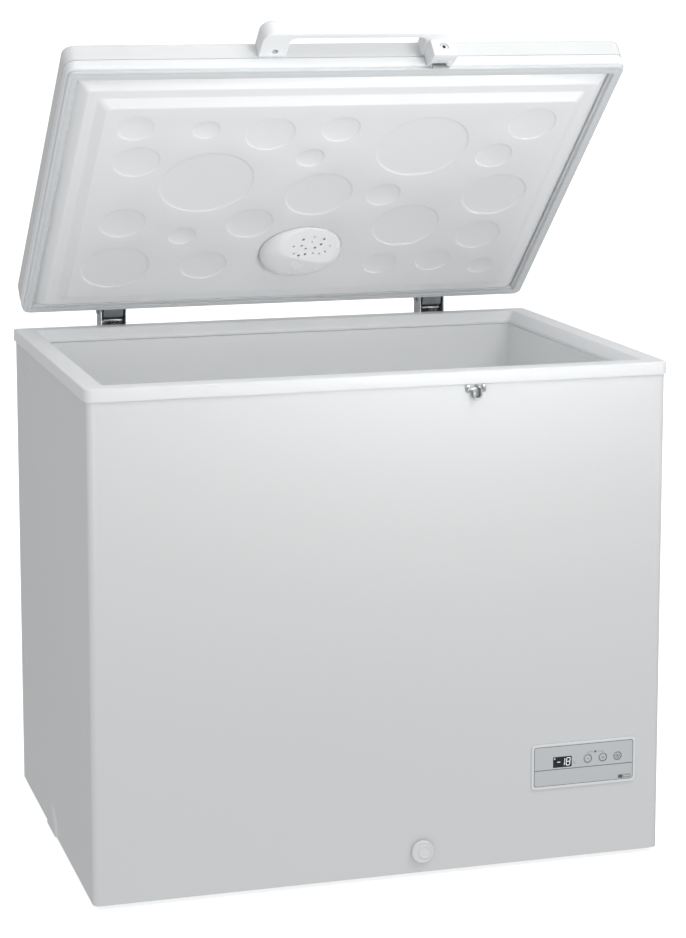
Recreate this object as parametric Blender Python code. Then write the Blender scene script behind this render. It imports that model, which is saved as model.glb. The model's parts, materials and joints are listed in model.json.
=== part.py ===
"""Chest freezer with a spring-hinged lid, standing open as it rests.

Metres, +Z up. X runs to the right as seen from the front, Y from the front to the back.
The origin lies on the floor, under the middle of the open freezer.
Lid pieces are modelled with the lid shut, from the hinge axis, and hang on an empty that opens them.
"""
import math

import bmesh
import bpy
from mathutils import Matrix, Vector

# Driving dimensions
WIDTH = 0.915
DEPTH = 0.638
FRONT = -0.336
FEET_H = 0.008
CABINET_H = 0.788
SHEET = 0.0015
GAP = 0.0003
WALL = 0.045
FLOOR_WALL = 0.060
STEP_X = 0.170
STEP_Z = 0.318

HALF_W = WIDTH / 2
BACK = FRONT + DEPTH
BOTTOM = FEET_H
RIM_Z = BOTTOM + CABINET_H

# Top frame
RIM_OVERHANG = 0.0035
RIM_H = 0.020
RIM_TOP_W = 0.032
COLLAR_W = 0.044
COLLAR_DROP = 0.015

# Lid, shut
LID_HALF_W = 0.451
LID_FRONT = FRONT - 0.004
LID_BACK = BACK - 0.001
LID_Z = RIM_Z + 0.006
LID_H = 0.048
LID_SKIN_Z = LID_Z + 0.0175
LID_TOP = LID_Z + LID_H
LID_CORNER_R = 0.018
PLUG_SHIFT = 0.004
REST_OPEN_DEG = 42.0

# Hinges
AXIS_Y = BACK + 0.027
AXIS_Z = RIM_Z + 0.022
HINGE_X = 0.288
CAM_RATE = 0.008
CAM_SHUT = 0.0199
ARM_HALF_W = 0.017
PIN_R = 0.004
CHANNEL_HALF_W = 0.0225
CHANNEL_T = 0.002
CHANNEL_FRONT = BACK
CHANNEL_NOTCH = BACK + 0.0036
CHANNEL_BACK = AXIS_Y + 0.0118
CHANNEL_TOP = AXIS_Z + 0.007
CHANNEL_LOW = 0.630
SPRING_Y = AXIS_Y - 0.004
SPRING_LOW = 0.675

# Compressor bay
BAY_X = 0.215
BAY_TOP = 0.270

# Control panel, on the front
PANEL_X = (0.2405, 0.4165)
PANEL_Z = (0.1225, 0.1955)
PANEL_TOP_Y = FRONT - 0.0025
WINDOW_X = (0.2765, 0.3080)
WINDOW_Z = (0.1560, 0.1735)
BUTTON_Z = 0.1665
BUTTON_XS = {"button_minus": 0.3350, "button_plus": 0.3605, "button_freeze": 0.3855}
BUTTON_R = 0.0068

# Drain
DRAIN_X = 0.060
DRAIN_Z = 0.0432
DIAL_R = 0.0175

# Handle and lock, lid shut
HANDLE_HALF_W = 0.153
HANDLE_FOOT_W = 0.044
HANDLE_REACH = 0.055
HANDLE_BAR_T = 0.012
HANDLE_Z = (LID_SKIN_Z, LID_TOP - 0.0015)
LOCK_X = 0.1335
LOCK_Z = LID_Z + 0.003
LOCK_HALF_W = 0.0195
LOCK_PLATE_Y = LID_FRONT - 0.040
LOCK_BOX_Z = (LID_Z - 0.0135, LID_Z + 0.018)
HOOK_PIVOT = (0.1455, LID_FRONT - 0.0085, LID_Z - 0.008)
HOOK_LENGTH = 0.0240
KEEPER_X = 0.1430

# Round dimples of the lid's inner panel: x, distance from the lid's back edge, radius
DIMPLES = [
    (-0.331, 0.519, 0.030), (-0.218, 0.513, 0.023), (-0.112, 0.499, 0.041), (0.002, 0.508, 0.032),
    (0.149, 0.459, 0.077), (0.322, 0.512, 0.041), (0.278, 0.431, 0.032), (-0.317, 0.435, 0.039),
    (-0.194, 0.376, 0.078), (-0.034, 0.436, 0.024), (0.001, 0.337, 0.057), (0.112, 0.332, 0.030),
    (0.308, 0.324, 0.056), (0.172, 0.244, 0.058), (0.309, 0.211, 0.040), (-0.316, 0.273, 0.039),
    (-0.211, 0.234, 0.024), (-0.101, 0.262, 0.040), (-0.311, 0.149, 0.058), (-0.160, 0.147, 0.040),
    (0.151, 0.135, 0.030), (0.246, 0.141, 0.032), (0.339, 0.118, 0.023),
]
LAMP_X = 0.000
LAMP_FROM_BACK = 0.184
LAMP_SIZE = (0.070, 0.063, 0.022)


def clear_scene():
    for obj in list(bpy.data.objects):
        bpy.data.objects.remove(obj)


def material(name, colour, roughness, metallic=0.0):
    mat = bpy.data.materials.new(name)
    mat.use_nodes = True
    shader = mat.node_tree.nodes["Principled BSDF"]
    shader.inputs["Base Color"].default_value = (*colour, 1.0)
    shader.inputs["Roughness"].default_value = roughness
    shader.inputs["Metallic"].default_value = metallic
    return mat


def finish_mesh(name, bm, mat, smooth=False):
    """Closes up a bmesh as a named object with its own material."""
    bmesh.ops.remove_doubles(bm, verts=bm.verts, dist=0.00001)
    bmesh.ops.recalc_face_normals(bm, faces=bm.faces)
    mesh = bpy.data.meshes.new(name)
    bm.to_mesh(mesh)
    bm.free()
    if smooth:
        mesh.shade_smooth()
        mesh.set_sharp_from_angle(angle=math.radians(35))
    obj = bpy.data.objects.new(name, mesh)
    bpy.context.scene.collection.objects.link(obj)
    if mat:
        mesh.materials.append(mat)
    return obj


def box(name, lo, hi, mat=None, bevel=0.0):
    bm = bmesh.new()
    lo, hi = Vector(lo), Vector(hi)
    middle, size = (lo + hi) / 2, hi - lo
    bmesh.ops.create_cube(bm, size=1.0, matrix=Matrix.Translation(middle) @ Matrix.Diagonal((*size, 1.0)))
    if bevel:
        bmesh.ops.bevel(bm, geom=bm.edges, offset=bevel, segments=2, affect="EDGES", profile=0.5)
    return finish_mesh(name, bm, mat)


def rounded_rectangle(x0, x1, y0, y1, radius, steps=4, far_radius=None):
    """Outline points of a rectangle with round corners, anticlockwise. far_radius is for the y1 side."""
    far = radius if far_radius is None else far_radius
    corners = [(x1, y0, -90, radius), (x1, y1, 0, far), (x0, y1, 90, far), (x0, y0, 180, radius)]
    points = []
    for x, y, start, radius in corners:
        cx = x - math.copysign(radius, x - (x0 + x1) / 2)
        cy = y - math.copysign(radius, y - (y0 + y1) / 2)
        for i in range(steps + 1):
            angle = math.radians(start + 90 * i / steps)
            points.append((cx + radius * math.cos(angle), cy + radius * math.sin(angle)))
    return points


def circle(cx, cy, radius, sides):
    turns = [2 * math.pi * i / sides for i in range(sides)]
    return [(cx + radius * math.cos(a), cy + radius * math.sin(a)) for a in turns]


def loft(name, rings, mat=None, ring_shaped=False, smooth=False):
    """Joins rings of equal point count. Ends are capped, or joined to each other if ring-shaped."""
    bm = bmesh.new()
    rows = [[bm.verts.new(p) for p in ring] for ring in rings]
    count = len(rows[0])
    pairs = list(zip(rows, rows[1:]))
    if ring_shaped:
        pairs.append((rows[-1], rows[0]))
    else:
        bm.faces.new(rows[0])
        bm.faces.new(rows[-1])
    for low, high in pairs:
        for i in range(count):
            j = (i + 1) % count
            bm.faces.new((low[i], low[j], high[j], high[i]))
    return finish_mesh(name, bm, mat, smooth)


def flat_ring(outline, z):
    return [(x, y, z) for x, y in outline]


def prism_z(name, outline, z0, z1, mat=None, smooth=False):
    return loft(name, [flat_ring(outline, z0), flat_ring(outline, z1)], mat, smooth=smooth)


def prism_y(name, outline, y0, y1, mat=None, smooth=False):
    rings = [[(x, y, z) for x, z in outline] for y in (y0, y1)]
    return loft(name, rings, mat, smooth=smooth)


def prism_x(name, outline, x0, x1, mat=None, smooth=False):
    rings = [[(x, y, z) for y, z in outline] for x in (x0, x1)]
    return loft(name, rings, mat, smooth=smooth)


def turned(name, centre, axis, profile, mat=None, sides=24, hollow=False):
    """Turns (radius, distance along the axis) points round an axis letter through centre."""
    rings = []
    for radius, along in profile:
        ring = []
        for u, v in circle(0.0, 0.0, radius, sides):
            offset = {"X": (along, u, v), "Y": (v, along, u), "Z": (u, v, along)}[axis]
            ring.append(Vector(centre) + Vector(offset))
        rings.append(ring)
    return loft(name, rings, mat, ring_shaped=hollow, smooth=True)


def bore(name, centre, axis, radius, reach, sides=24):
    """A cutter for a round hole, reaching as far on both sides of centre."""
    return turned(name, centre, axis, [(radius, -reach), (radius, reach)], sides=sides)


def boolean(obj, other, operation):
    """Applies a Boolean and removes the other object."""
    modifier = obj.modifiers.new("boolean", "BOOLEAN")
    modifier.operation = operation
    modifier.object = other
    modifier.solver = "EXACT"
    view = bpy.context.evaluated_depsgraph_get()
    mesh = bpy.data.meshes.new_from_object(obj.evaluated_get(view))
    obj.modifiers.clear()
    obj.data = mesh
    bpy.data.objects.remove(other)
    return obj


def cut(obj, *cutters):
    for cutter in cutters:
        boolean(obj, cutter, "DIFFERENCE")
    return obj


def join(obj, *others):
    for other in others:
        boolean(obj, other, "UNION")
    return obj


def rounded_path(points, radius, steps=3):
    """Replaces the corners of a run of straight pipes with bends."""
    path = [Vector(points[0])]
    for before, corner, after in zip(points, points[1:], points[2:]):
        before, corner, after = Vector(before), Vector(corner), Vector(after)
        start = corner + (before - corner).normalized() * radius
        end = corner + (after - corner).normalized() * radius
        for i in range(steps + 1):
            t = i / steps
            path.append(start * (1 - t) ** 2 + corner * 2 * t * (1 - t) + end * t ** 2)
    path.append(Vector(points[-1]))
    return path


def pipe(name, points, radius, mat, resolution=1, swell=None):
    """A round bar along points. swell scales the radius at each point."""
    curve = bpy.data.curves.new(name, "CURVE")
    curve.dimensions = "3D"
    curve.bevel_depth = radius
    curve.bevel_resolution = resolution
    curve.use_fill_caps = True
    spline = curve.splines.new("POLY")
    spline.points.add(len(points) - 1)
    for i, point in enumerate(points):
        spline.points[i].co = (*point, 1.0)
        spline.points[i].radius = swell[i] if swell else 1.0
    curve.materials.append(mat)
    obj = bpy.data.objects.new(name, curve)
    bpy.context.scene.collection.objects.link(obj)
    return obj


def lid_pivot():
    """The empty on the hinge axis, turned to the angle at which the lid stands open."""
    pivot = bpy.data.objects.new("lid_pivot", None)
    bpy.context.scene.collection.objects.link(pivot)
    pivot.location = (0.0, AXIS_Y, AXIS_Z)
    pivot.rotation_euler = (math.radians(-REST_OPEN_DEG), 0.0, 0.0)
    return pivot


def hang(obj, pivot, about=(0.0, AXIS_Y, AXIS_Z)):
    """Hangs an object modelled with the lid shut on the lid's pivot, with its origin at a point."""
    obj.data.transform(Matrix.Translation(-Vector(about)))
    obj.parent = pivot
    obj.location = Vector(about) - Vector((0.0, AXIS_Y, AXIS_Z))
    return obj


def set_origin(obj, point):
    obj.data.transform(Matrix.Translation(-Vector(point)))
    obj.location = point
    return obj


# Cabinet


def cabinet_shell(mat):
    """The steel wrap: front and two sides in one sheet, with its vent, drain and panel openings."""
    radius, steps = 0.010, 4
    outer = [(-HALF_W, BACK)]
    inner = [(-HALF_W + SHEET, BACK)]
    for cx, start in ((-HALF_W + radius, 180), (HALF_W - radius, 270)):
        for i in range(steps + 1):
            angle = math.radians(start + 90 * i / steps)
            c, s = math.cos(angle), math.sin(angle)
            outer.append((cx + radius * c, FRONT + radius + radius * s))
            inner.append((cx + (radius - SHEET) * c, FRONT + radius + (radius - SHEET) * s))
    outer.append((HALF_W, BACK))
    inner.append((HALF_W - SHEET, BACK))
    shell = prism_z("cabinet_shell", outer + inner[::-1], BOTTOM, RIM_Z - 0.006, mat)
    boss_y, boss_r = FRONT + 0.353, 0.042
    rings = []
    for x, r in ((-HALF_W + 0.0008, boss_r), (-HALF_W - 0.0010, boss_r), (-HALF_W - 0.0030, boss_r - 0.005)):
        arc = [math.radians(180 * i / 12) for i in range(13)]
        rings.append([(x, boss_y + r * math.cos(a), BOTTOM + 0.001 + r * math.sin(a)) for a in arc])
    join(shell, loft("boss", rings))
    vent = box("vent", (HALF_W - 0.010, -0.005, 0.055), (HALF_W + 0.010, 0.235, 0.205))
    drain = bore("drain_hole", (DRAIN_X, FRONT, DRAIN_Z), "Y", 0.0130, 0.01)
    panel = box("panel_hole", (PANEL_X[0] + 0.004, FRONT - 0.01, PANEL_Z[0] + 0.004),
                (PANEL_X[1] - 0.004, FRONT + 0.01, PANEL_Z[1] - 0.004))
    cut(shell, vent, drain, panel)
    return shell


def back_panel(mat):
    panel = box("back_panel", (-HALF_W + SHEET + GAP, BACK - 0.0020, BOTTOM + 0.001),
                (HALF_W - SHEET - GAP, BACK - 0.0005, RIM_Z - 0.0065), mat)
    window = box("window", (0.235, BACK - 0.01, 0.035), (0.440, BACK + 0.01, 0.245))
    cut(panel, window)
    return panel


def base_plate(mat):
    inset = SHEET + GAP
    outline = rounded_rectangle(-HALF_W + inset, HALF_W - inset, FRONT + inset, BACK - 0.0025,
                                0.0082, far_radius=0.001)
    return prism_z("base_plate", outline, BOTTOM + 0.001, BOTTOM + 0.0025, mat)


def tub_block(name, grow, top, mat=None):
    """The tub's space, grown outwards, with the step over the compressor bay taken out."""
    outline = rounded_rectangle(-HALF_W + WALL - grow, HALF_W - WALL + grow,
                                FRONT + WALL - grow, BACK - WALL + grow, 0.020 + grow)
    block = prism_z(name, outline, BOTTOM + FLOOR_WALL - grow, top, mat, smooth=True)
    step = box("step", (STEP_X + grow, FRONT, BOTTOM), (HALF_W, BACK, STEP_Z - grow))
    cut(block, step)
    return block


def inner_liner(mat):
    thickness = 0.0012
    top = RIM_Z - RIM_H - GAP
    liner = tub_block("inner_liner", thickness, top, mat)
    flange = prism_z("flange", rounded_rectangle(-0.432, 0.432, -0.312, 0.278, 0.030), top - thickness, top)
    join(liner, flange)
    cut(liner, tub_block("space", 0.0, RIM_Z))
    cut(liner, turned("hole", (DRAIN_X, -0.240, 0.06), "Z", [(0.0095, 0.0), (0.0095, 0.03)], sides=16))
    return liner


def cabinet_foam(mat):
    """Insulation, with room for the tube on each side of it."""
    outline = rounded_rectangle(-0.4500, 0.4500, FRONT + 0.0075, BACK - 0.0075, 0.010)
    foam = prism_z("cabinet_foam", outline, BOTTOM + 0.004, 0.7730, mat)
    bay = box("bay", (BAY_X, FRONT, 0.0), (HALF_W, BACK, BAY_TOP))
    cut(foam, bay, tub_block("space", 0.010, RIM_Z))
    down = turned("down", (DRAIN_X, -0.240, 0.0), "Z", [(0.0125, 0.028), (0.0125, 0.075)], sides=16)
    forward = turned("forward", (DRAIN_X, 0.0, DRAIN_Z), "Y", [(0.0160, FRONT), (0.0160, -0.2275)], sides=16)
    cut(foam, down, forward)
    return foam


def top_frame(mat):
    """The hollow white rim: an outer skirt, a flat top and the sloped collar down to the tub."""
    def outline(inset):
        far = 0.003 if inset < 0.003 else 0.0008 + inset * 0.14
        return rounded_rectangle(-HALF_W - RIM_OVERHANG + inset, HALF_W + RIM_OVERHANG - inset,
                                 FRONT - RIM_OVERHANG + inset, BACK + 0.0033 - inset,
                                 max(0.0135 - inset, 0.007), far_radius=far)

    low = RIM_Z - RIM_H
    profile = [
        (0.0, low), (0.0, RIM_Z - 0.002), (0.002, RIM_Z), (RIM_TOP_W, RIM_Z),
        (COLLAR_W, RIM_Z - COLLAR_DROP), (COLLAR_W, low), (COLLAR_W - 0.0025, low),
        (COLLAR_W - 0.0025, RIM_Z - COLLAR_DROP - 0.0005), (RIM_TOP_W - 0.0015, RIM_Z - 0.003),
        (0.0030, RIM_Z - 0.003), (0.0030, low),
    ]
    rings = [flat_ring(outline(inset), z) for inset, z in profile]
    return loft("top_frame", rings, mat, ring_shaped=True, smooth=True)


def evaporator_coil(mat):
    """Rectangular turns of tube round the tub, one below the other."""
    x = HALF_W - WALL + 0.0060
    front, back = FRONT + WALL - 0.0060, BACK - WALL + 0.0060
    turns, top, pitch = 4, 0.700, 0.085
    corners = [(-x, back), (-x, front), (x, front), (x, back)]
    points = [(*corners[i % 4], top - pitch * i / 4) for i in range(turns * 4 + 1)]
    points[0] = (-x, back - 0.040, top)
    points[-1] = (-x + 0.040, back, top - pitch * turns)
    return pipe("evaporator_coil", rounded_path(points, 0.030), 0.0035, mat, resolution=0)


def condenser_coil(mat):
    """Runs of tube back and forth behind the front and side sheets."""
    x, front, back = HALF_W - 0.0045, FRONT + 0.0045, BACK - 0.020
    levels = [0.72, 0.60, 0.48, 0.36]
    points = []
    for i, z in enumerate(levels):
        run = [(x, back, z), (x, front, z), (-x, front, z), (-x, back, z)]
        points.extend(run if i % 2 == 0 else run[::-1])
    return pipe("condenser_coil", rounded_path(points, 0.009, 2), 0.0022, mat, resolution=0)


def compressor(mat):
    """The welded compressor pot on its foot plate."""
    centre = (0.335, 0.120, 0.0)
    profile = [
        (0.045, 0.0400), (0.068, 0.0470), (0.080, 0.0650), (0.084, 0.1150), (0.089, 0.1180), (0.089, 0.1240),
        (0.084, 0.1270), (0.080, 0.1700), (0.066, 0.1960), (0.040, 0.2080), (0.012, 0.2110),
    ]
    pot = turned("compressor", centre, "Z", profile, mat, sides=28)
    feet = box("feet", (0.245, 0.035, 0.0410), (0.425, 0.205, 0.0440))
    return join(pot, feet)


def compressor_bay_parts(metal, rubber, black, copper, steel):
    tray = [(0.020, 0.0108), (0.022, 0.0108), (0.022, 0.0212), (0.218, 0.0212), (0.218, 0.0108),
            (0.220, 0.0108), (0.220, 0.0232), (0.020, 0.0232)]
    prism_x("compressor_tray", tray, 0.232, 0.438, steel)
    places = [(0.255, 0.045), (0.415, 0.045), (0.255, 0.195), (0.415, 0.195)]
    waisted = [(0.011, 0.0235), (0.011, 0.0290), (0.008, 0.0310),
               (0.008, 0.0345), (0.011, 0.0365), (0.011, 0.0407)]
    for i, (x, y) in enumerate(places, 1):
        turned(f"grommet_{i}", (x, y, 0.0), "Z", waisted, rubber, sides=14)
    box("relay_cover", (0.305, -0.002, 0.085), (0.365, 0.0305, 0.150), black, bevel=0.004)
    route = [(0.335, 0.2125, 0.150), (0.335, 0.240, 0.150), (0.250, 0.240, 0.150), (0.250, 0.240, 0.138),
             (0.250, 0.240, 0.130), (0.250, 0.240, 0.080), (0.250, 0.240, 0.072), (0.250, 0.240, 0.055),
             (0.232, 0.215, 0.055), (0.228, 0.100, 0.060), (0.228, 0.050, 0.200)]
    swell = [1.0, 1.0, 1.0, 1.0, 2.9, 2.9, 1.0, 0.6, 0.6, 0.6, 0.6]
    pipe("filter_drier", route, 0.0032, copper, resolution=2, swell=swell)
    return compressor(metal)


def side_grille(mat):
    """Louvred vent of the compressor bay, set into the right side."""
    outer = rounded_rectangle(-0.013, 0.243, 0.047, 0.213, 0.008)
    inner = rounded_rectangle(-0.0045, 0.2345, 0.0555, 0.2045, 0.004)
    levels = [(HALF_W - 0.006, inner), (HALF_W + GAP, inner), (HALF_W + GAP, outer), (HALF_W + 0.0022, outer)]
    rings = [[(x, y, z) for y, z in outline] for x, outline in levels]
    grille = loft("side_grille", rings, mat)
    for i in range(8):
        z = 0.0680 + 0.0165 * i
        slot = prism_x("slot", rounded_rectangle(0.010, 0.220, z - 0.0035, z + 0.0035, 0.003, 2),
                       HALF_W - 0.02, HALF_W + 0.02)
        cut(grille, slot)
    return grille


def rear_cover(mat):
    """Steel cover over the compressor bay's opening in the back panel."""
    cover = box("rear_cover", (0.225, BACK + GAP, 0.025), (0.450, BACK + 0.0015, 0.255), mat)
    for i in range(5):
        z = 0.140 + 0.020 * i
        slot = box("slot", (0.265, BACK - 0.01, z - 0.004), (0.410, BACK + 0.01, z + 0.004))
        cut(cover, slot)
    cut(cover, bore("hole", (0.262, BACK, 0.060), "Y", 0.0075, 0.01, sides=16))
    return cover


def cord_gland(mat):
    """Snap-in gland with an empty bore."""
    outer = [(0.0070, -0.010), (0.0070, 0.0018), (0.0110, 0.0018), (0.0110, 0.0050), (0.0080, 0.0120)]
    inner = [(0.0042, 0.0120), (0.0042, -0.010)]
    return turned("cord_gland", (0.262, BACK, 0.060), "Y", outer + inner, mat, sides=20, hollow=True)


def control_panel(white, fascia_mat, window_mat, board_mat, button_mat):
    x0, x1 = PANEL_X
    z0, z1 = PANEL_Z

    def outline(inset, radius):
        return rounded_rectangle(x0 + inset, x1 - inset, z0 + inset, z1 - inset, radius)

    levels = [(0.0, FRONT - GAP, 0.006), (0.0008, PANEL_TOP_Y, 0.006),
              (0.0040, PANEL_TOP_Y, 0.004), (0.0045, FRONT - GAP, 0.004)]
    bezel = [[(x, y, z) for x, z in outline(inset, radius)] for inset, y, radius in levels]
    loft("panel_bezel", bezel, white, ring_shaped=True, smooth=True)
    face = PANEL_TOP_Y + 0.0006
    fascia = prism_y("panel_fascia", outline(0.0050, 0.0035), face, face + 0.0030, fascia_mat)
    window_hole = rounded_rectangle(*WINDOW_X, *WINDOW_Z, 0.001, 2)
    cut(fascia, prism_y("hole", window_hole, face - 0.01, face + 0.01))
    for x in BUTTON_XS.values():
        cut(fascia, bore("hole", (x, face, BUTTON_Z), "Y", BUTTON_R + GAP, 0.01))
    window = rounded_rectangle(WINDOW_X[0] + GAP, WINDOW_X[1] - GAP,
                               WINDOW_Z[0] + GAP, WINDOW_Z[1] - GAP, 0.001, 2)
    prism_y("display_window", window, face + 0.0002, face + 0.0040, window_mat)
    box("control_board", (x0 + 0.010, FRONT + 0.0070, z0 + 0.012),
        (x1 - 0.010, FRONT + 0.0086, z1 - 0.010), board_mat)
    for name, x in BUTTON_XS.items():
        profile = [(BUTTON_R - 0.0008, -0.0003), (BUTTON_R, 0.0002), (BUTTON_R, 0.0055)]
        button = turned(name, (x, face, BUTTON_Z), "Y", profile, button_mat, sides=20)
        set_origin(button, (x, face, BUTTON_Z))


def drain(white, grey, rubber):
    """Front drain: fixed socket and pipe, the spout that pulls out and the dial that opens it."""
    centre = (DRAIN_X, FRONT, DRAIN_Z)
    socket = [(0.0122, 0.0300), (0.0122, -GAP), (0.0150, -GAP),
              (0.0150, -0.0016), (0.0102, -0.0016), (0.0102, 0.0300)]
    turned("drain_socket", centre, "Y", socket, grey, hollow=True)
    spout = [(0.0098, -0.0026), (0.0098, 0.0290), (0.0070, 0.0290), (0.0070, -0.0026)]
    turned("drain_spout", centre, "Y", spout, white, hollow=True)
    dial_profile = [(0.0060, 0.0000), (0.0060, -0.0030), (DIAL_R, -0.0030),
                    (DIAL_R, -0.0075), (DIAL_R - 0.0015, -0.0090)]
    dial = turned("drain_dial", centre, "Y", dial_profile, white, sides=32)
    ridge_centre = (DRAIN_X + 0.0025, FRONT, DRAIN_Z + 0.0005)
    join(dial, turned("ridge", ridge_centre, "Y", [(0.0105, -0.0085), (0.0100, -0.0102)]))
    set_origin(dial, centre)
    floor = BOTTOM + FLOOR_WALL
    down = [(DRAIN_X, -0.240, floor - 0.0016), (DRAIN_X, -0.240, DRAIN_Z), (DRAIN_X, FRONT + 0.0305, DRAIN_Z)]
    pipe("drain_pipe", rounded_path(down, 0.014, 4), 0.0090, rubber, resolution=2)
    plug_profile = [(0.0080, floor - 0.0010), (0.0085, floor + GAP), (0.0150, floor + GAP),
                    (0.0150, floor + 0.0040), (0.0060, floor + 0.0055), (0.0060, floor + 0.0120),
                    (0.0085, floor + 0.0150)]
    turned("liner_drain_plug", (DRAIN_X, -0.240, 0.0), "Z", plug_profile, white, sides=20)


def striker(metal, screw_mat):
    """Latch keeper just below the rim: two screwed ears and a loop that is open on its left."""
    top = RIM_Z - RIM_H - 0.0005
    face = FRONT - GAP
    left, right = KEEPER_X - 0.0165, KEEPER_X + 0.0165
    plate = rounded_rectangle(left, right, top - 0.0125, top, 0.003)
    keeper = prism_y("striker", plate, face - 0.0018, face, metal)
    ring = rounded_rectangle(0.1360, 0.1510, top - 0.0230, top, 0.0060)
    loop = prism_y("loop", ring, face - 0.0097, face - 0.0008)
    eye = rounded_rectangle(0.1280, 0.1482, top - 0.0200, top - 0.0030, 0.0040)
    cut(loop, prism_y("eye", eye, face - 0.02, face))
    cut(loop, box("mouth", (0.1280, face - 0.02, top - 0.0100), (0.1422, face, top + 0.01)))
    web = box("web", (0.1367, face - 0.0014, top - 0.0215), (0.1495, face - 0.0008, top - 0.0050))
    join(keeper, web, loop)
    for name, x in (("striker_screw_left", left + 0.0045), ("striker_screw_right", right - 0.0038)):
        profile = [(0.0030, -0.0020), (0.0030, -0.0030), (0.0015, -0.0042)]
        turned(name, (x, face, top - 0.0065), "Y", profile, screw_mat, sides=14)


def feet(mat):
    profile = [(0.0150, 0.0), (0.0165, 0.0020), (0.0165, BOTTOM + 0.0007)]
    for name, x, y in (("foot_front_left", -0.400, -0.285), ("foot_front_right", 0.400, -0.285),
                       ("foot_back_left", -0.400, 0.250), ("foot_back_right", 0.400, 0.250)):
        turned(name, (x, y, 0.0), "Z", profile, mat, sides=18)


# Hinges


def cam_outline():
    """The lid arm's side view from the hinge axis, lid shut. Its lower edge drives the follower evenly."""
    steps = 12
    points = []
    for i in range(steps + 1):
        angle = math.radians(88.0) * i / steps
        reach = CAM_SHUT - CAM_RATE * angle
        c, s = math.cos(angle), math.sin(angle)
        points.append((reach * s - CAM_RATE * c, -reach * c - CAM_RATE * s))
    for i in range(7):
        angle = math.radians(-30.0 + 120.0 * i / 6)
        points.append((0.0088 * math.cos(angle), 0.0088 * math.sin(angle)))
    points.extend([(-0.0247, 0.0088), (-0.0247, -0.0100)])
    return points


def hinge(side, x, steel, dark, spring_mat, pivot):
    """One spring hinge: channel on the cabinet, pin, lid arm, follower and spring."""
    y0, y1, t, half = CHANNEL_FRONT, CHANNEL_BACK, CHANNEL_T, CHANNEL_HALF_W
    tab = 0.038
    plan = [(-tab, y0), (-half + t, y0), (-half + t, y1 - t), (half - t, y1 - t), (half - t, y0), (tab, y0),
            (tab, y0 + t), (half, y0 + t), (half, y1), (-half, y1), (-half, y0 + t), (-tab, y0 + t)]
    base = prism_z(f"hinge_base_{side}", [(x + px, py) for px, py in plan], CHANNEL_LOW, CHANNEL_TOP, steel)
    for sign in (-1, 1):
        a, b = sorted((x + sign * half, x + sign * (tab + 0.01)))
        cut(base, box("tab_end", (a, y0 - 0.01, 0.770), (b, y1 + 0.01, 0.9)))
    notch, under_rim, round_r = CHANNEL_NOTCH, RIM_Z - RIM_H - 0.0015, 0.007
    corner = [(y0 - 0.001, CHANNEL_TOP + 0.001), (y0 - 0.001, under_rim), (notch, under_rim)]
    for i in range(5):
        angle = math.radians(180 - 90 * i / 4)
        out, down = 1 + math.cos(angle), 1 - math.sin(angle)
        corner.append((notch + round_r * out, CHANNEL_TOP - round_r * down))
    corner.append((notch + round_r, CHANNEL_TOP + 0.001))
    cut(base, prism_x("corner", corner, x - half - 0.01, x + half + 0.01))
    seat = box("seat", (x - half + 0.0005, y0 + 0.004, SPRING_LOW - 0.0025),
               (x + half - 0.0005, y1 - 0.001, SPRING_LOW - GAP))
    join(base, seat)
    cut(base, bore("rod_hole", (x, SPRING_Y, SPRING_LOW), "Z", 0.0048, 0.01, sides=16))
    cut(base, bore("pin_hole", (x, AXIS_Y, AXIS_Z), "X", PIN_R + GAP, 0.04))

    pin_profile = [(0.0056, -0.0252), (0.0060, -0.0244), (0.0060, -0.0228), (PIN_R, -0.0228), (PIN_R, 0.0228),
                   (0.0060, 0.0228), (0.0060, 0.0244), (0.0056, 0.0252)]
    turned(f"hinge_pin_{side}", (x, AXIS_Y, AXIS_Z), "X", pin_profile, steel)

    outline = [(AXIS_Y + py, AXIS_Z + pz) for py, pz in cam_outline()]
    arm = prism_x(f"hinge_arm_{side}", outline, x - ARM_HALF_W, x + ARM_HALF_W, dark)
    plate = box("plate", (x - ARM_HALF_W, LID_BACK + GAP, LID_Z + 0.003),
                (x + ARM_HALF_W, AXIS_Y - 0.0240, LID_TOP - 0.004))
    join(arm, plate)
    cut(arm, bore("pin_hole", (x, AXIS_Y, AXIS_Z), "X", PIN_R + GAP, 0.04))
    hang(arm, pivot)

    reach = CAM_SHUT - CAM_RATE * math.radians(REST_OPEN_DEG)
    top = AXIS_Z - reach - GAP
    follower = box(f"hinge_follower_{side}", (x - 0.0160, AXIS_Y - 0.0160, top - 0.0030),
                   (x + 0.0160, AXIS_Y + 0.0085, top), steel)
    ends = [(0.0040, SPRING_LOW - 0.020), (0.0040, top - 0.0015)]
    rod = turned("rod", (x, SPRING_Y, 0.0), "Z", ends, sides=16)
    join(follower, rod)
    set_origin(follower, (x, SPRING_Y, top))

    turns, per_turn, radius = 8, 10, 0.0100
    low, high = SPRING_LOW + 0.0020, top - 0.0030 - 0.0020
    coil = []
    for i in range(turns * per_turn + 1):
        angle = 2 * math.pi * i / per_turn
        z = low + (high - low) * i / (turns * per_turn)
        coil.append((x + radius * math.cos(angle), SPRING_Y + radius * math.sin(angle), z))
    pipe(f"hinge_spring_{side}", coil, 0.0015, spring_mat, resolution=0)


# Lid, modelled shut


def lid_outline(inset, shift=0.0, radius=None):
    """The lid's plan, drawn in by inset and moved back by shift."""
    corner = max(LID_CORNER_R - inset, 0.003) if radius is None else radius
    return rounded_rectangle(-LID_HALF_W + inset, LID_HALF_W - inset,
                             LID_FRONT + inset + shift, LID_BACK - inset + shift, corner)


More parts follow.
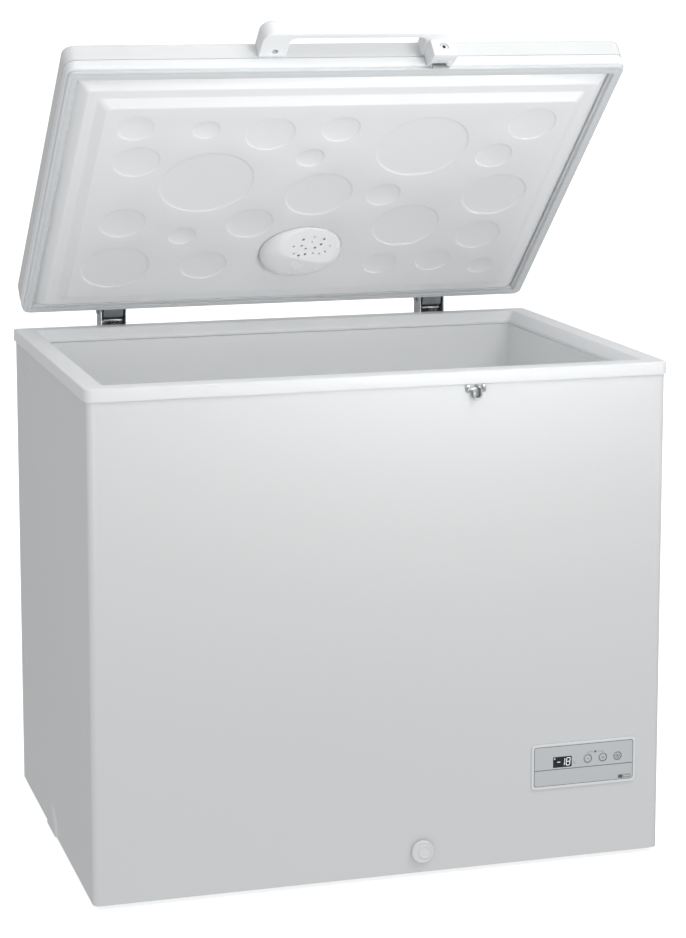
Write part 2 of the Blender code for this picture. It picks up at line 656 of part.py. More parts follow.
def lid_skin(mat, pivot):
    profile = [
        (0.0060, LID_TOP - SHEET), (0.0015, LID_TOP - 0.006), (0.0015, LID_SKIN_Z), (0.0, LID_SKIN_Z),
        (0.0, LID_TOP - 0.006), (0.0016, LID_TOP - 0.0020), (0.0060, LID_TOP),
    ]
    rings = [flat_ring(lid_outline(inset), z) for inset, z in profile]
    hang(loft("lid_skin", rings, mat, smooth=True), pivot)


def lid_frame(mat, pivot):
    top = LID_SKIN_Z - GAP
    outside = [(0.0030, LID_Z), (0.0008, LID_Z + 0.0022), (0.0008, top)]
    rings = [flat_ring(lid_outline(inset), z) for inset, z in outside]
    rings += [flat_ring(lid_outline(0.0200, PLUG_SHIFT, 0.004), z) for z in (top, LID_Z)]
    hang(loft("lid_frame", rings, mat, ring_shaped=True, smooth=True), pivot)


def lid_gasket(mat, pivot):
    low, high = RIM_Z + GAP, LID_Z - GAP
    rings = [flat_ring(lid_outline(inset, radius=0.012), z) for inset, z in
             ((0.0050, low), (0.0030, low + 0.0020), (0.0030, high))]
    rings += [flat_ring(lid_outline(inset, PLUG_SHIFT, 0.004), z) for inset, z in
              ((0.0190, high), (0.0190, low + 0.0020), (0.0175, low))]
    hang(loft("lid_gasket", rings, mat, ring_shaped=True, smooth=True), pivot)


PLUG_PROFILE = [(0.0211, LID_SKIN_Z - 0.001), (0.0211, LID_Z + 0.0065), (0.0376, LID_Z - 0.010),
                (0.0546, LID_Z - 0.010), (0.0686, LID_Z - 0.020)]


def plug_rings(inwards):
    """Rings of the inner panel's two-tier plug, moved into the lid by a thickness."""
    rings = []
    for i, (inset, z) in enumerate(PLUG_PROFILE):
        up = 0.0 if i == 0 else inwards
        rings.append(flat_ring(lid_outline(inset + inwards, PLUG_SHIFT, 0.006), z + up))
    return rings


def lid_liner(mat, pivot):
    """Thermoformed inner panel with round dimples in its plateau."""
    outer, inner = plug_rings(0.0), plug_rings(0.0015)
    liner = loft("lid_liner", outer[::-1] + inner, mat, smooth=True)
    depth, plateau = 0.0008, LID_Z - 0.020
    for x, from_back, radius in DIMPLES:
        centre = (x, LID_BACK - from_back, plateau)
        profile = [(radius, -0.002), (radius, 0.0), (radius - 0.002, depth)]
        cut(liner, turned("dimple", centre, "Z", profile, sides=16))
    hang(liner, pivot)


def lid_foam(mat, pivot):
    rings = plug_rings(0.0020)[::-1]
    rings[-1] = flat_ring(lid_outline(0.0231, PLUG_SHIFT, 0.006), LID_SKIN_Z)
    rings += [flat_ring(lid_outline(0.0023, 0.0, 0.016), LID_SKIN_Z)]
    rings += [flat_ring(lid_outline(0.0023, 0.0, 0.016), LID_TOP - 0.0075)]
    rings += [flat_ring(lid_outline(0.0075, 0.0, 0.012), LID_TOP - 0.0025)]
    hang(loft("lid_foam", rings, mat), pivot)


def lid_lamp(lens_mat, holder_mat, bulb_mat, pivot):
    """Oval domed lamp cover on the inner panel, with its holder and bulb."""
    y = LID_BACK - LAMP_FROM_BACK
    base = LID_Z - 0.020 - GAP
    half_w, half_d, drop = LAMP_SIZE

    def oval(scale, down):
        points = circle(0.0, 0.0, scale, 32)
        return [(LAMP_X + half_w * u, y + half_d * v, base - down) for u, v in points]

    dome = [(1.0, 0.0), (1.0, 0.002), (0.97, 0.3), (0.91, 0.6), (0.80, 0.85), (0.62, 0.97), (0.12, 1.0)]
    outer = [oval(scale, down * drop) for scale, down in dome[:1:-1]]
    outer += [oval(1.0, 0.0015), oval(0.985, 0.0)]
    inner = [oval(scale - 0.02, max(down * drop - 0.0015, 0.0)) for scale, down in dome[1:]]
    hang(loft("light_lens", outer + inner, lens_mat, smooth=True), pivot)
    holder = box("lamp_holder", (LAMP_X - 0.046, y - 0.011, base - 0.0115),
                 (LAMP_X - 0.024, y + 0.011, base), holder_mat, bevel=0.001)
    hang(holder, pivot)
    bulb = [(0.0030, -0.0235), (0.0030, -0.0160), (0.0050, -0.0090),
            (0.0055, 0.0100), (0.0040, 0.0160), (0.0008, 0.0180)]
    hang(turned("light_bulb", (LAMP_X, y, base - 0.0065), "X", bulb, bulb_mat, sides=14), pivot)


def lid_handle(mat, screw_mat, pivot):
    """Arched pull on the lid's front, whose right foot houses the lock."""
    near, far = LID_FRONT - GAP, LID_FRONT - HANDLE_REACH
    bar = far + HANDLE_BAR_T
    outer_r, inner_r, steps = 0.020, 0.012, 5
    outer, inner = [(-HANDLE_HALF_W, near)], [(-HANDLE_HALF_W + HANDLE_FOOT_W, near)]
    for sign, start in ((-1, 180), (1, 270)):
        for i in range(steps + 1):
            angle = math.radians(start + 90 * i / steps)
            cx = sign * (HANDLE_HALF_W - outer_r)
            outer.append((cx + outer_r * math.cos(angle), far + outer_r + outer_r * math.sin(angle)))
            ix = sign * (HANDLE_HALF_W - HANDLE_FOOT_W - inner_r)
            inner.append((ix + inner_r * math.cos(angle), bar + inner_r + inner_r * math.sin(angle)))
    outer.append((HANDLE_HALF_W, near))
    inner.append((HANDLE_HALF_W - HANDLE_FOOT_W, near))
    handle = prism_z("lid_handle", outer + inner[::-1], *HANDLE_Z, mat)
    lock_lo = (LOCK_X - LOCK_HALF_W, LOCK_PLATE_Y, LOCK_BOX_Z[0])
    lock_hi = (LOCK_X + LOCK_HALF_W, LID_FRONT - 0.0015, HANDLE_Z[0] + 0.004)
    join(handle, box("lock_box", lock_lo, lock_hi))
    wall = 0.0025
    cut(handle, box("lock_space", (lock_lo[0] + wall, LOCK_PLATE_Y + 0.0035, LOCK_BOX_Z[0] - 0.01),
                    (lock_hi[0] - wall, LID_FRONT + 0.01, LOCK_BOX_Z[1] + 0.003)))
    slope = [(LOCK_PLATE_Y + 0.006, lock_lo[2] - 0.002), (LID_FRONT, lock_lo[2] - 0.002),
             (LID_FRONT, LID_Z - 0.003), (LID_FRONT - 0.018, lock_lo[2] + 0.003),
             (LOCK_PLATE_Y + 0.006, lock_lo[2])]
    cut(handle, prism_x("slope", slope, LOCK_X - 0.03, LOCK_X + 0.03))
    stud = [(0.0045, LOCK_PLATE_Y + 0.002), (0.0045, HOOK_PIVOT[1] - 0.0018),
            (0.0023, HOOK_PIVOT[1] - 0.0018), (0.0023, HOOK_PIVOT[1] + 0.0035)]
    join(handle, turned("stud", (HOOK_PIVOT[0], 0.0, HOOK_PIVOT[2]), "Y", stud, sides=18))
    cut(handle, bore("barrel_hole", (LOCK_X, LOCK_PLATE_Y, LOCK_Z), "Y", 0.0071, 0.01))
    screw_place = (-0.1285, LID_FRONT - 0.0130, 0.0)
    recess = [(0.0048, HANDLE_Z[0] - 0.01), (0.0048, HANDLE_Z[0] + 0.0120)]
    cut(handle, turned("screw_hole", screw_place, "Z", recess, sides=16))
    hang(handle, pivot)
    head = [(0.0040, HANDLE_Z[0] + 0.0085), (0.0040, HANDLE_Z[0] + 0.0100), (0.0020, HANDLE_Z[0] + 0.0117)]
    hang(turned("handle_screw", screw_place, "Z", head, screw_mat, sides=14), pivot)


def lock(mat, pivot):
    """Key barrel, and the hook that it swings down into the striker's loop."""
    profile = [(0.0062, LOCK_PLATE_Y - 0.0012), (0.0068, LOCK_PLATE_Y - 0.0006),
               (0.0068, HOOK_PIVOT[1] - 0.0035)]
    barrel = turned("lock_barrel", (LOCK_X, 0.0, LOCK_Z), "Y", profile, mat)
    key = box("key_slot", (LOCK_X - 0.0007, LOCK_PLATE_Y - 0.01, LOCK_Z - 0.0028),
              (LOCK_X + 0.0007, LOCK_PLATE_Y + 0.008, LOCK_Z + 0.0028))
    cut(barrel, key)
    hang(barrel, pivot, about=(LOCK_X, LOCK_PLATE_Y, LOCK_Z))
    x, y, z = HOOK_PIVOT
    half, tip = 0.0022, x - HOOK_LENGTH
    bar = rounded_rectangle(tip - half, x + half, z - half, z + half, half)
    hook = prism_y("lock_hook", bar, y - 0.0015, y + 0.0015, mat)
    eye = turned("eye", (x, y, z), "Y", [(0.0046, -0.0015), (0.0046, 0.0015)], sides=20)
    catch = turned("catch", (tip, y, z), "Y", [(0.0016, 0.0), (0.0016, 0.0075)], sides=12)
    join(hook, eye, catch)
    cut(hook, bore("hole", (x, y, z), "Y", 0.0026, 0.01, sides=18))
    hang(hook, pivot, about=HOOK_PIVOT)


def build():
    clear_scene()
    painted = material("painted_white", (0.80, 0.81, 0.81), 0.30)
    galvanised = material("galvanised_steel", (0.55, 0.56, 0.57), 0.40, 0.9)
    white_plastic = material("white_plastic", (0.84, 0.85, 0.86), 0.40)
    panel_plastic = material("panel_plastic", (0.74, 0.76, 0.77), 0.45)
    foam = material("foam", (0.86, 0.80, 0.58), 0.90)
    copper = material("copper", (0.72, 0.36, 0.22), 0.35, 0.9)
    tube = material("steel_tube", (0.45, 0.45, 0.46), 0.40, 0.9)
    black_metal = material("black_enamel", (0.02, 0.02, 0.022), 0.35)
    black_plastic = material("black_plastic", (0.03, 0.03, 0.03), 0.50)
    rubber = material("rubber", (0.04, 0.04, 0.04), 0.80)
    gasket = material("gasket", (0.70, 0.72, 0.73), 0.60)
    glass = material("display", (0.01, 0.01, 0.012), 0.10)
    board = material("circuit_board", (0.05, 0.22, 0.10), 0.50)
    lens = material("lens", (0.88, 0.89, 0.90), 0.25)
    bulb = material("bulb", (0.95, 0.90, 0.75), 0.10)
    zinc = material("zinc", (0.50, 0.50, 0.52), 0.35, 0.9)
    spring_steel = material("spring_steel", (0.28, 0.28, 0.30), 0.35, 0.9)

    pivot = lid_pivot()
    cabinet_shell(painted)
    back_panel(galvanised)
    base_plate(galvanised)
    inner_liner(painted)
    cabinet_foam(foam)
    top_frame(white_plastic)
    evaporator_coil(tube)
    condenser_coil(tube)
    compressor_bay_parts(black_metal, rubber, black_plastic, copper, galvanised)
    side_grille(white_plastic)
    rear_cover(galvanised)
    cord_gland(black_plastic)
    control_panel(white_plastic, panel_plastic, glass, board, panel_plastic)
    drain(white_plastic, panel_plastic, rubber)
    striker(zinc, zinc)
    feet(rubber)
    for side, x in (("left", -HINGE_X), ("right", HINGE_X)):
        hinge(side, x, galvanised, zinc, spring_steel, pivot)
    lid_skin(painted, pivot)
    lid_frame(white_plastic, pivot)
    lid_gasket(gasket, pivot)
    lid_liner(panel_plastic, pivot)
    lid_foam(foam, pivot)
    lid_lamp(lens, panel_plastic, bulb, pivot)
    lid_handle(white_plastic, zinc, pivot)
    lock(zinc, pivot)


build()
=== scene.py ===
import json
import math

import bmesh
import bpy
from mathutils import Matrix, Vector
from mathutils.geometry import delaunay_2d_cdt


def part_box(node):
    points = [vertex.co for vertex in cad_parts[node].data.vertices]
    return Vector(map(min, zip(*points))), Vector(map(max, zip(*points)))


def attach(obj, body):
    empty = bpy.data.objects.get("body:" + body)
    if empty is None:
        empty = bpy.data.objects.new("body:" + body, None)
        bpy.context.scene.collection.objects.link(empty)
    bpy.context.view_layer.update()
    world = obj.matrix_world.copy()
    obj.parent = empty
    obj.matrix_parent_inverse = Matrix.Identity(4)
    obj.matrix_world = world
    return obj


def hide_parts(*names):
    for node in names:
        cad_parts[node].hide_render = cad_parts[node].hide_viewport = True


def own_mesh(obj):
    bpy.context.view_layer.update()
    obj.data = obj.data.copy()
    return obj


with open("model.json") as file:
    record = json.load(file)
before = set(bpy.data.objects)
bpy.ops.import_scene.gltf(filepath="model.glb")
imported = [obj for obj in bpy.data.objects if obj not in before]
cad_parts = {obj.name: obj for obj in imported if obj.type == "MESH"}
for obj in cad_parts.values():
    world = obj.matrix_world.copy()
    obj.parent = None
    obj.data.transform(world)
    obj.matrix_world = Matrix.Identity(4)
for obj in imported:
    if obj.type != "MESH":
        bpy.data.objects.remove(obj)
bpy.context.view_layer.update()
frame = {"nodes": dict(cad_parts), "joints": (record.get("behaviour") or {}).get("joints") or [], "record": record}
NODES = frame["nodes"]
LID_HINGE = {joint["name"]: joint for joint in frame["joints"]}["lid_hinge"]

# Cabinet, in metres: X to the right, Y to the back, Z up
HALF_W = 0.4575
FRONT, BACK = -0.336, 0.302
BOTTOM, RIM_Z = 0.008, 0.796
SHEET = 0.0015
GAP = 0.0003
CORNER_R = 0.010
WALL = 0.045
TUB_FLOOR = 0.068
STEP_X, STEP_Z = 0.170, 0.318
RIM_OVERHANG, RIM_H = 0.0035, 0.020
RIM_TOP_W, COLLAR_W, COLLAR_DROP = 0.032, 0.044, 0.015
BOSS_Y, BOSS_Z = FRONT + 0.353, BOTTOM + 0.001
VENT_Y, VENT_Z = (-0.005, 0.235), (0.055, 0.205)
SLATS, SLAT_LOW, SLAT_STEP = 9, 0.0665, 0.0155
BAY_X, BAY_Z = (0.235, 0.440), (0.035, 0.245)
BEAD_XS, BEAD_Z, BEAD_HALF_W = (-0.15, 0.15), (0.30, 0.60), 0.006
SPRING_R, SPRING_WIRE, SPRING_TURNS, SPRING_KEEP = 0.0100, 0.0015, 8, 0.95

# Lid, as it lies shut; it rests open
LID_HALF_W = 0.451
LID_FRONT, LID_BACK = FRONT - 0.004, BACK - 0.001
LID_Z, LID_SKIN_Z, LID_TOP = 0.802, 0.8195, 0.850
LID_CORNER_R = 0.018
PLUG_SHIFT = 0.004
PLATEAU_Z = LID_Z - 0.020
AXIS = Vector(LID_HINGE["pos_m"])
REST_OPEN = math.radians(-LID_HINGE["range_deg"][0])
LID_TURN = Matrix.Translation(AXIS) @ Matrix.Rotation(-REST_OPEN, 4, "X") @ Matrix.Translation(-AXIS)

# Round dimples of the inner panel: x, distance from the lid's back edge, radius
DIMPLES = [
    (-0.331, 0.519, 0.030), (-0.218, 0.513, 0.023), (-0.112, 0.499, 0.041), (0.002, 0.508, 0.032),
    (0.149, 0.459, 0.077), (0.322, 0.512, 0.041), (0.278, 0.431, 0.032), (-0.317, 0.435, 0.039),
    (-0.194, 0.376, 0.078), (-0.034, 0.436, 0.024), (0.001, 0.337, 0.057), (0.112, 0.332, 0.030),
    (0.308, 0.324, 0.056), (0.172, 0.244, 0.058), (0.309, 0.211, 0.040), (-0.316, 0.273, 0.039),
    (-0.211, 0.234, 0.024), (-0.101, 0.262, 0.040), (-0.311, 0.149, 0.058), (-0.160, 0.147, 0.040),
    (0.151, 0.135, 0.030), (0.246, 0.141, 0.032), (0.339, 0.118, 0.023),
]
DIMPLE_WALL, DIMPLE_WALL_W, DIMPLE_BOWL = 0.0018, 0.0042, 0.0022
LAMP_Y = LID_BACK - 0.184
LAMP_HALF_W, LAMP_HALF_D, LAMP_DROP, LENS_WALL = 0.070, 0.063, 0.022, 0.0015
FACET_DROP, FACET_SLOPE_U, FACET_SLOPE_V, FACET_SOFT = 0.0222, -0.0080, 0.0190, 0.0008

# Vent holes fan out on the lens's facet: row radius, first and last angle, number of holes
LENS_FAN = ((0.009, 40, 140, 2), (0.019, 10, 165, 4), (0.029, 12, 160, 5), (0.039, 25, 140, 5))
LENS_FAN_X, LENS_FAN_Y = 0.0100, LAMP_Y - 0.006

# Handle and lock, lid shut
HANDLE_HALF_W, HANDLE_FOOT_W = 0.153, 0.044
HANDLE_FAR, HANDLE_BAR_T = LID_FRONT - 0.055, 0.012
HANDLE_Z = (LID_SKIN_Z, LID_TOP - 0.0015)
HANDLE_SCREW = (-0.1285, LID_FRONT - 0.0130)
LOCK_X, LOCK_Z, LOCK_HALF_W, LOCK_LOW = 0.1335, 0.805, 0.0195, 0.7885
LOCK_PLATE_Y = LID_FRONT - 0.040
HOOK_PIVOT = (0.1455, LID_FRONT - 0.0085, 0.794)

# Front panel, striker and drain
PANEL_X, PANEL_Z = (0.2405, 0.4165), (0.1225, 0.1955)
DIVIDER_Z = (0.1528, 0.1538)
PANEL_TOP_Y = FRONT - 0.0025
FASCIA_Y = PANEL_TOP_Y + 0.0006
WINDOW_X, WINDOW_Z = (0.2765, 0.3080), (0.1560, 0.1735)
BUTTON_Z, BUTTON_R = 0.1665, 0.0068
BUTTON_XS = {"button_minus": 0.3350, "button_plus": 0.3605, "button_freeze": 0.3855}
DIGIT_H, DIGIT_Z = 0.0118, 0.1590
DIGIT_PLACES = (("eight", 0.2985, "abcdefg"), ("one", 0.2895, "bc"), ("sign", 0.2826, "g"))
RUNNING_LIGHT = (0.2793, 0.1706)
BADGE_X, BADGE_Z = (0.3870, 0.4085), (0.1292, 0.1352)
EARS_X, LOOP_X = ((0.1265, 0.1348), (0.1520, 0.1595)), (0.1360, 0.1510)
EAR_SCREWS_X = {"striker_screw_left": 0.1310, "striker_screw_right": 0.1557}
DRAIN_X, DRAIN_Z = 0.060, 0.0432
PLUG_Y, PLUG_HOLE_R = -0.240, 0.0095
DIAL_R = 0.0175

# Surroundings and camera
SKY_BASE, SKY_TOP, SKY_LOW = 0.36, 0.60, 0.60
FLOOR_SIZE, FLOOR_GLOW = 400.0, 0.62
CAMERA_PLACE, CAMERA_PITCH_DEG, CAMERA_TURN_DEG = (-1.121, -3.885, 1.409), 8.29, 16.53
CAMERA_LENS, CAMERA_SHIFT = 96.06, -0.15


# Materials


class Nodes:
    """A material's node tree with short calls for adding and linking nodes."""

    def __init__(self, name):
        self.material = bpy.data.materials.new(name)
        self.material.use_nodes = True
        self.tree = self.material.node_tree
        self.shader = self.tree.nodes["Principled BSDF"]
        self.coords = self.add("ShaderNodeTexCoord").outputs["Object"]

    def add(self, kind, inputs=None, **settings):
        node = self.tree.nodes.new(kind)
        for key, value in settings.items():
            setattr(node, key, value)
        for key, value in (inputs or {}).items():
            self.feed(node.inputs[key], value)
        return node

    def feed(self, socket, value):
        if isinstance(value, bpy.types.NodeSocket):
            self.tree.links.new(value, socket)
        else:
            socket.default_value = value

    def stretched(self, scale):
        return self.add("ShaderNodeMapping", {"Vector": self.coords, "Scale": scale}).outputs["Vector"]

    def noise(self, scale, detail=3.0, vector=None):
        inputs = {"Vector": vector or self.coords, "Scale": scale, "Detail": detail}
        return self.add("ShaderNodeTexNoise", inputs).outputs["Fac"]

    def spread(self, value, low, high, to_low, to_high):
        inputs = {"Value": value, "From Min": low, "From Max": high, "To Min": to_low, "To Max": to_high}
        return self.add("ShaderNodeMapRange", inputs).outputs["Result"]

    def patches(self, scale, low, high, detail=3.0):
        """Noise in soft patches between two values."""
        return self.spread(self.noise(scale, detail), 0.3, 0.7, low, high)

    def mix(self, factor, a, b):
        node = self.add("ShaderNodeMix", data_type="RGBA")
        for index, value in ((0, factor), (6, a), (7, b)):
            self.feed(node.inputs[index], value)
        return node.outputs[2]

    def math(self, operation, a, b):
        return self.add("ShaderNodeMath", {0: a, 1: b}, operation=operation).outputs[0]

    def edge_mask(self, radius):
        """1 on worn outer edges and 0 on flat surfaces, from how far a bevel would turn the normal."""
        bevel = self.add("ShaderNodeBevel", {"Radius": radius}, samples=4).outputs["Normal"]
        plain = self.add("ShaderNodeNewGeometry").outputs["Normal"]
        along = self.add("ShaderNodeVectorMath", {0: bevel, 1: plain}, operation="DOT_PRODUCT")
        away = self.math("SUBTRACT", 1.0, along.outputs["Value"])
        return self.spread(away, 0.012, 0.16, 0.0, 1.0)

    def relief(self, heights, bevel=0.0):
        """Chains bumps of (height, strength, distance) onto a slightly rounded normal."""
        normal = None
        if bevel:
            normal = self.add("ShaderNodeBevel", {"Radius": bevel}, samples=4).outputs["Normal"]
        for height, strength, distance in heights:
            inputs = {"Height": height, "Strength": strength, "Distance": distance}
            if normal is not None:
                inputs["Normal"] = normal
            normal = self.add("ShaderNodeBump", inputs).outputs["Normal"]
        self.feed(self.shader.inputs["Normal"], normal)

    def set(self, **values):
        for key, value in values.items():
            self.feed(self.shader.inputs[key.replace("_", " ")], value)


def tinted(colour, factor):
    return (*[min(1.0, c * factor) for c in colour], 1.0)


def moulded(name, colour, rough, grain=1400.0, grain_depth=0.00004, cloud=0.012, bevel=0.0006, edge=1.05,
            coat=0.0, subsurface=0.0):
    """Moulded plastic: fine spark-eroded grain, faint clouding and slightly polished edges."""
    n = Nodes(name)
    base = n.mix(n.patches(5.0, 0.0, 1.0, 4.0), tinted(colour, 1 - cloud), tinted(colour, 1 + cloud))
    worn = n.math("MULTIPLY", n.edge_mask(0.0012), n.spread(n.noise(60.0), 0.35, 0.65, 0.4, 1.0))
    n.set(Base_Color=n.mix(worn, base, tinted(colour, edge)))
    dulled = n.patches(18.0, rough - 0.04, rough + 0.05)
    n.set(Roughness=n.math("SUBTRACT", dulled, n.math("MULTIPLY", worn, 0.10)))
    n.relief([(n.noise(grain, 2.0), 0.5, grain_depth), (n.noise(9.0, 1.0), 0.35, 0.0006)], bevel)
    n.set(Coat_Weight=coat, Coat_Roughness=0.12)
    if subsurface:
        n.set(Subsurface_Weight=subsurface, Subsurface_Scale=0.002, Subsurface_Radius=(1.0, 1.0, 1.0))
    return n.material


def painted(name, colour, rough, bevel=0.0008):
    """Powder paint on sheet steel: orange peel, a faint slow unevenness of the sheet, paler worn edges."""
    n = Nodes(name)
    clouds = n.noise(2.2, 0.0)
    base = n.mix(n.spread(clouds, 0.1, 0.9, 0.0, 1.0), tinted(colour, 0.988), tinted(colour, 1.008))
    worn = n.math("MULTIPLY", n.edge_mask(0.0012), n.spread(n.noise(45.0), 0.35, 0.65, 0.3, 1.0))
    n.set(Base_Color=n.mix(worn, base, tinted(colour, 1.06)))
    n.set(Roughness=n.spread(n.noise(12.0, 0.0), 0.1, 0.9, rough - 0.03, rough + 0.04))
    peel = n.noise(380.0, 1.0)
    oil_canning = n.noise(3.0, 0.0)
    n.relief([(peel, 0.06, 0.00005), (oil_canning, 0.08, 0.0016)], bevel)
    n.set(Coat_Weight=0.25, Coat_Roughness=0.10)
    return n.material


def galvanised(name, colour):
    """Hot-dip galvanised sheet with its spangle of flat crystals."""
    n = Nodes(name)
    cell = n.add("ShaderNodeTexVoronoi", {"Vector": n.coords, "Scale": 130.0}).outputs["Color"]
    grey = n.add("ShaderNodeSeparateColor", {"Color": cell}).outputs["Red"]
    base = n.mix(grey, tinted(colour, 0.86), tinted(colour, 1.12))
    worn = n.edge_mask(0.0008)
    n.set(Base_Color=n.mix(worn, base, tinted(colour, 1.25)))
    n.set(Roughness=n.spread(grey, 0.0, 1.0, 0.34, 0.50), Metallic=0.9)
    n.relief([(grey, 0.10, 0.0001), (n.noise(900.0), 0.25, 0.00004)], 0.0004)
    return n.material


def drawn_metal(name, colour, rough):
    """Plated or drawn metal with fine scratches along X and brighter rubbed edges."""
    n = Nodes(name)
    scratches = n.noise(1.0, 3.0, n.stretched((40.0, 900.0, 900.0)))
    base = n.mix(n.patches(70.0, 0.0, 1.0), tinted(colour, 0.88), tinted(colour, 1.08))
    n.set(Base_Color=n.mix(n.edge_mask(0.0007), base, tinted(colour, 1.2)))
    n.set(Roughness=n.spread(scratches, 0.25, 0.75, rough - 0.08, rough + 0.10), Metallic=0.95)
    n.relief([(scratches, 0.25, 0.00004)], 0.0003)
    return n.material


def rubbery(name, colour, rough):
    """Moulded rubber with a dusty bloom that gathers in patches."""
    n = Nodes(name)
    bloom = n.spread(n.noise(40.0, 4.0), 0.45, 0.75, 0.0, 0.5)
    base = n.mix(bloom, tinted(colour, 1.0), tinted(colour, 1.7))
    n.set(Base_Color=n.mix(n.edge_mask(0.0010), base, tinted(colour, 1.9)))
    n.set(Roughness=n.patches(25.0, rough - 0.08, rough + 0.08))
    n.relief([(n.noise(1100.0), 0.4, 0.00005)], 0.0005)
    n.set(Sheen_Weight=0.08, Sheen_Roughness=0.5)
    return n.material


def foamed(name, colour):
    """Rigid insulating foam with fine cells."""
    n = Nodes(name)
    cells = n.add("ShaderNodeTexVoronoi", {"Vector": n.coords, "Scale": 600.0}).outputs["Distance"]
    n.set(Base_Color=n.mix(n.noise(14.0, 5.0), tinted(colour, 0.85), tinted(colour, 1.1)), Roughness=0.9)
    n.relief([(cells, 0.8, 0.0004)])
    return n.material


def circuit_board(name, colour):
    """Solder-masked board with darker and lighter traces."""
    n = Nodes(name)
    traces = n.add("ShaderNodeTexBrick", {"Vector": n.coords, "Scale": 120.0, "Mortar Size": 0.03,
                                          "Color1": tinted(colour, 1.0), "Color2": tinted(colour, 0.8),
                                          "Mortar": tinted(colour, 1.8)})
    n.set(Base_Color=traces.outputs["Color"])
    n.set(Roughness=n.patches(60.0, 0.30, 0.42))
    n.relief([(traces.outputs["Fac"], 0.4, 0.0001)])
    return n.material


def glossy_window(name, colour):
    """Smoked display window, polished, with a little dust in it."""
    n = Nodes(name)
    dust = n.spread(n.noise(900.0, 2.0), 0.68, 0.8, 0.0, 0.25)
    n.set(Base_Color=n.mix(dust, tinted(colour, 1.0), (0.10, 0.10, 0.11, 1.0)))
    n.set(Roughness=n.patches(30.0, 0.06, 0.14))
    n.relief([(n.noise(20.0), 0.1, 0.0001)])
    return n.material


def glowing(name, colour, strength):
    """Lit display segments, slightly uneven."""
    n = Nodes(name)
    level = n.patches(500.0, 0.85, 1.0)
    n.set(Base_Color=n.mix(level, tinted(colour, 0.8), tinted(colour, 1.0)), Roughness=0.4)
    n.set(Emission_Color=(*colour, 1.0), Emission_Strength=strength)
    return n.material


def clear_glass(name, colour):
    n = Nodes(name)
    n.set(Base_Color=n.mix(n.noise(80.0), tinted(colour, 0.94), tinted(colour, 1.0)))
    n.set(Roughness=n.patches(60.0, 0.03, 0.08), Transmission_Weight=0.8, IOR=1.48)
    n.relief([(n.noise(40.0), 0.1, 0.0002)])
    return n.material


def tube_finish(name, colour, rough):
    """Drawn tube: a slow tarnish in patches and fine bright scuffs."""
    n = Nodes(name)
    tarnish = n.spread(n.noise(35.0, 4.0), 0.4, 0.7, 0.0, 1.0)
    n.set(Base_Color=n.mix(tarnish, tinted(colour, 1.0), tinted(colour, 0.62)), Metallic=0.95)
    n.set(Roughness=n.spread(tarnish, 0.0, 1.0, rough, rough + 0.2))
    n.relief([(n.noise(700.0), 0.3, 0.00005)])
    return n.material


MATS = {
    "painted_white": painted("painted_white", (0.765, 0.775, 0.775), 0.30),
    "galvanised": galvanised("galvanised", (0.56, 0.57, 0.58)),
    "white_plastic": moulded("white_plastic", (0.84, 0.85, 0.86), 0.38),
    "panel_plastic": moulded("panel_plastic", (0.64, 0.66, 0.67), 0.42, cloud=0.008),
    "lid_panel": moulded("lid_panel", (0.85, 0.855, 0.86), 0.36, grain=700.0, grain_depth=0.00003,
                         bevel=0.0, subsurface=0.05),
    "tub_liner": painted("tub_liner", (0.82, 0.83, 0.835), 0.34, bevel=0.003),
    "foam": foamed("foam", (0.86, 0.80, 0.58)),
    "copper": tube_finish("copper", (0.72, 0.36, 0.22), 0.28),
    "steel_tube": tube_finish("steel_tube", (0.40, 0.40, 0.41), 0.35),
    "black_enamel": painted("black_enamel", (0.022, 0.022, 0.025), 0.34),
    "black_plastic": moulded("black_plastic", (0.03, 0.03, 0.03), 0.50, edge=1.8),
    "rubber": rubbery("rubber", (0.035, 0.035, 0.036), 0.75),
    "gasket": moulded("gasket", (0.66, 0.68, 0.69), 0.55, grain=500.0, edge=1.1),
    "display": glossy_window("display", (0.008, 0.008, 0.010)),
    "board": circuit_board("board", (0.05, 0.22, 0.10)),
    "lens": moulded("lens", (0.90, 0.91, 0.92), 0.24, grain=300.0, grain_depth=0.00002,
                    bevel=0.0004, coat=0.3, subsurface=0.15),
    "bulb": clear_glass("bulb", (0.98, 0.95, 0.88)),
    "zinc": drawn_metal("zinc", (0.42, 0.43, 0.44), 0.34),
    "spring_steel": drawn_metal("spring_steel", (0.28, 0.28, 0.30), 0.38),
}
PRINT = moulded("print_grey", (0.12, 0.12, 0.125), 0.55, cloud=0.05, edge=1.3)
SOFT_PRINT = moulded("print_pale", (0.40, 0.41, 0.42), 0.55, cloud=0.05)
DIGIT = glowing("digit_white", (0.92, 0.95, 1.0), 0.35)
# Near-black finish for the painted shade deep in the keyway.
KEYWAY_SHADE = moulded("keyway_painted_shade", (0.02, 0.02, 0.02), 0.8, edge=1.2)


# Mesh tools


def finish_mesh(name, bm, mat=None, angle=35.0):
    bmesh.ops.remove_doubles(bm, verts=bm.verts, dist=0.000005)
    bmesh.ops.recalc_face_normals(bm, faces=bm.faces)
    mesh = bpy.data.meshes.new(name)
    bm.to_mesh(mesh)
    bm.free()
    mesh.shade_smooth()
    mesh.set_sharp_from_angle(angle=math.radians(angle))
    obj = bpy.data.objects.new(name, mesh)
    bpy.context.scene.collection.objects.link(obj)
    if mat:
        mesh.materials.append(mat)
    return obj


def rectangle(x0, x1, y0, y1):
    return [(x0, y0), (x1, y0), (x1, y1), (x0, y1)]


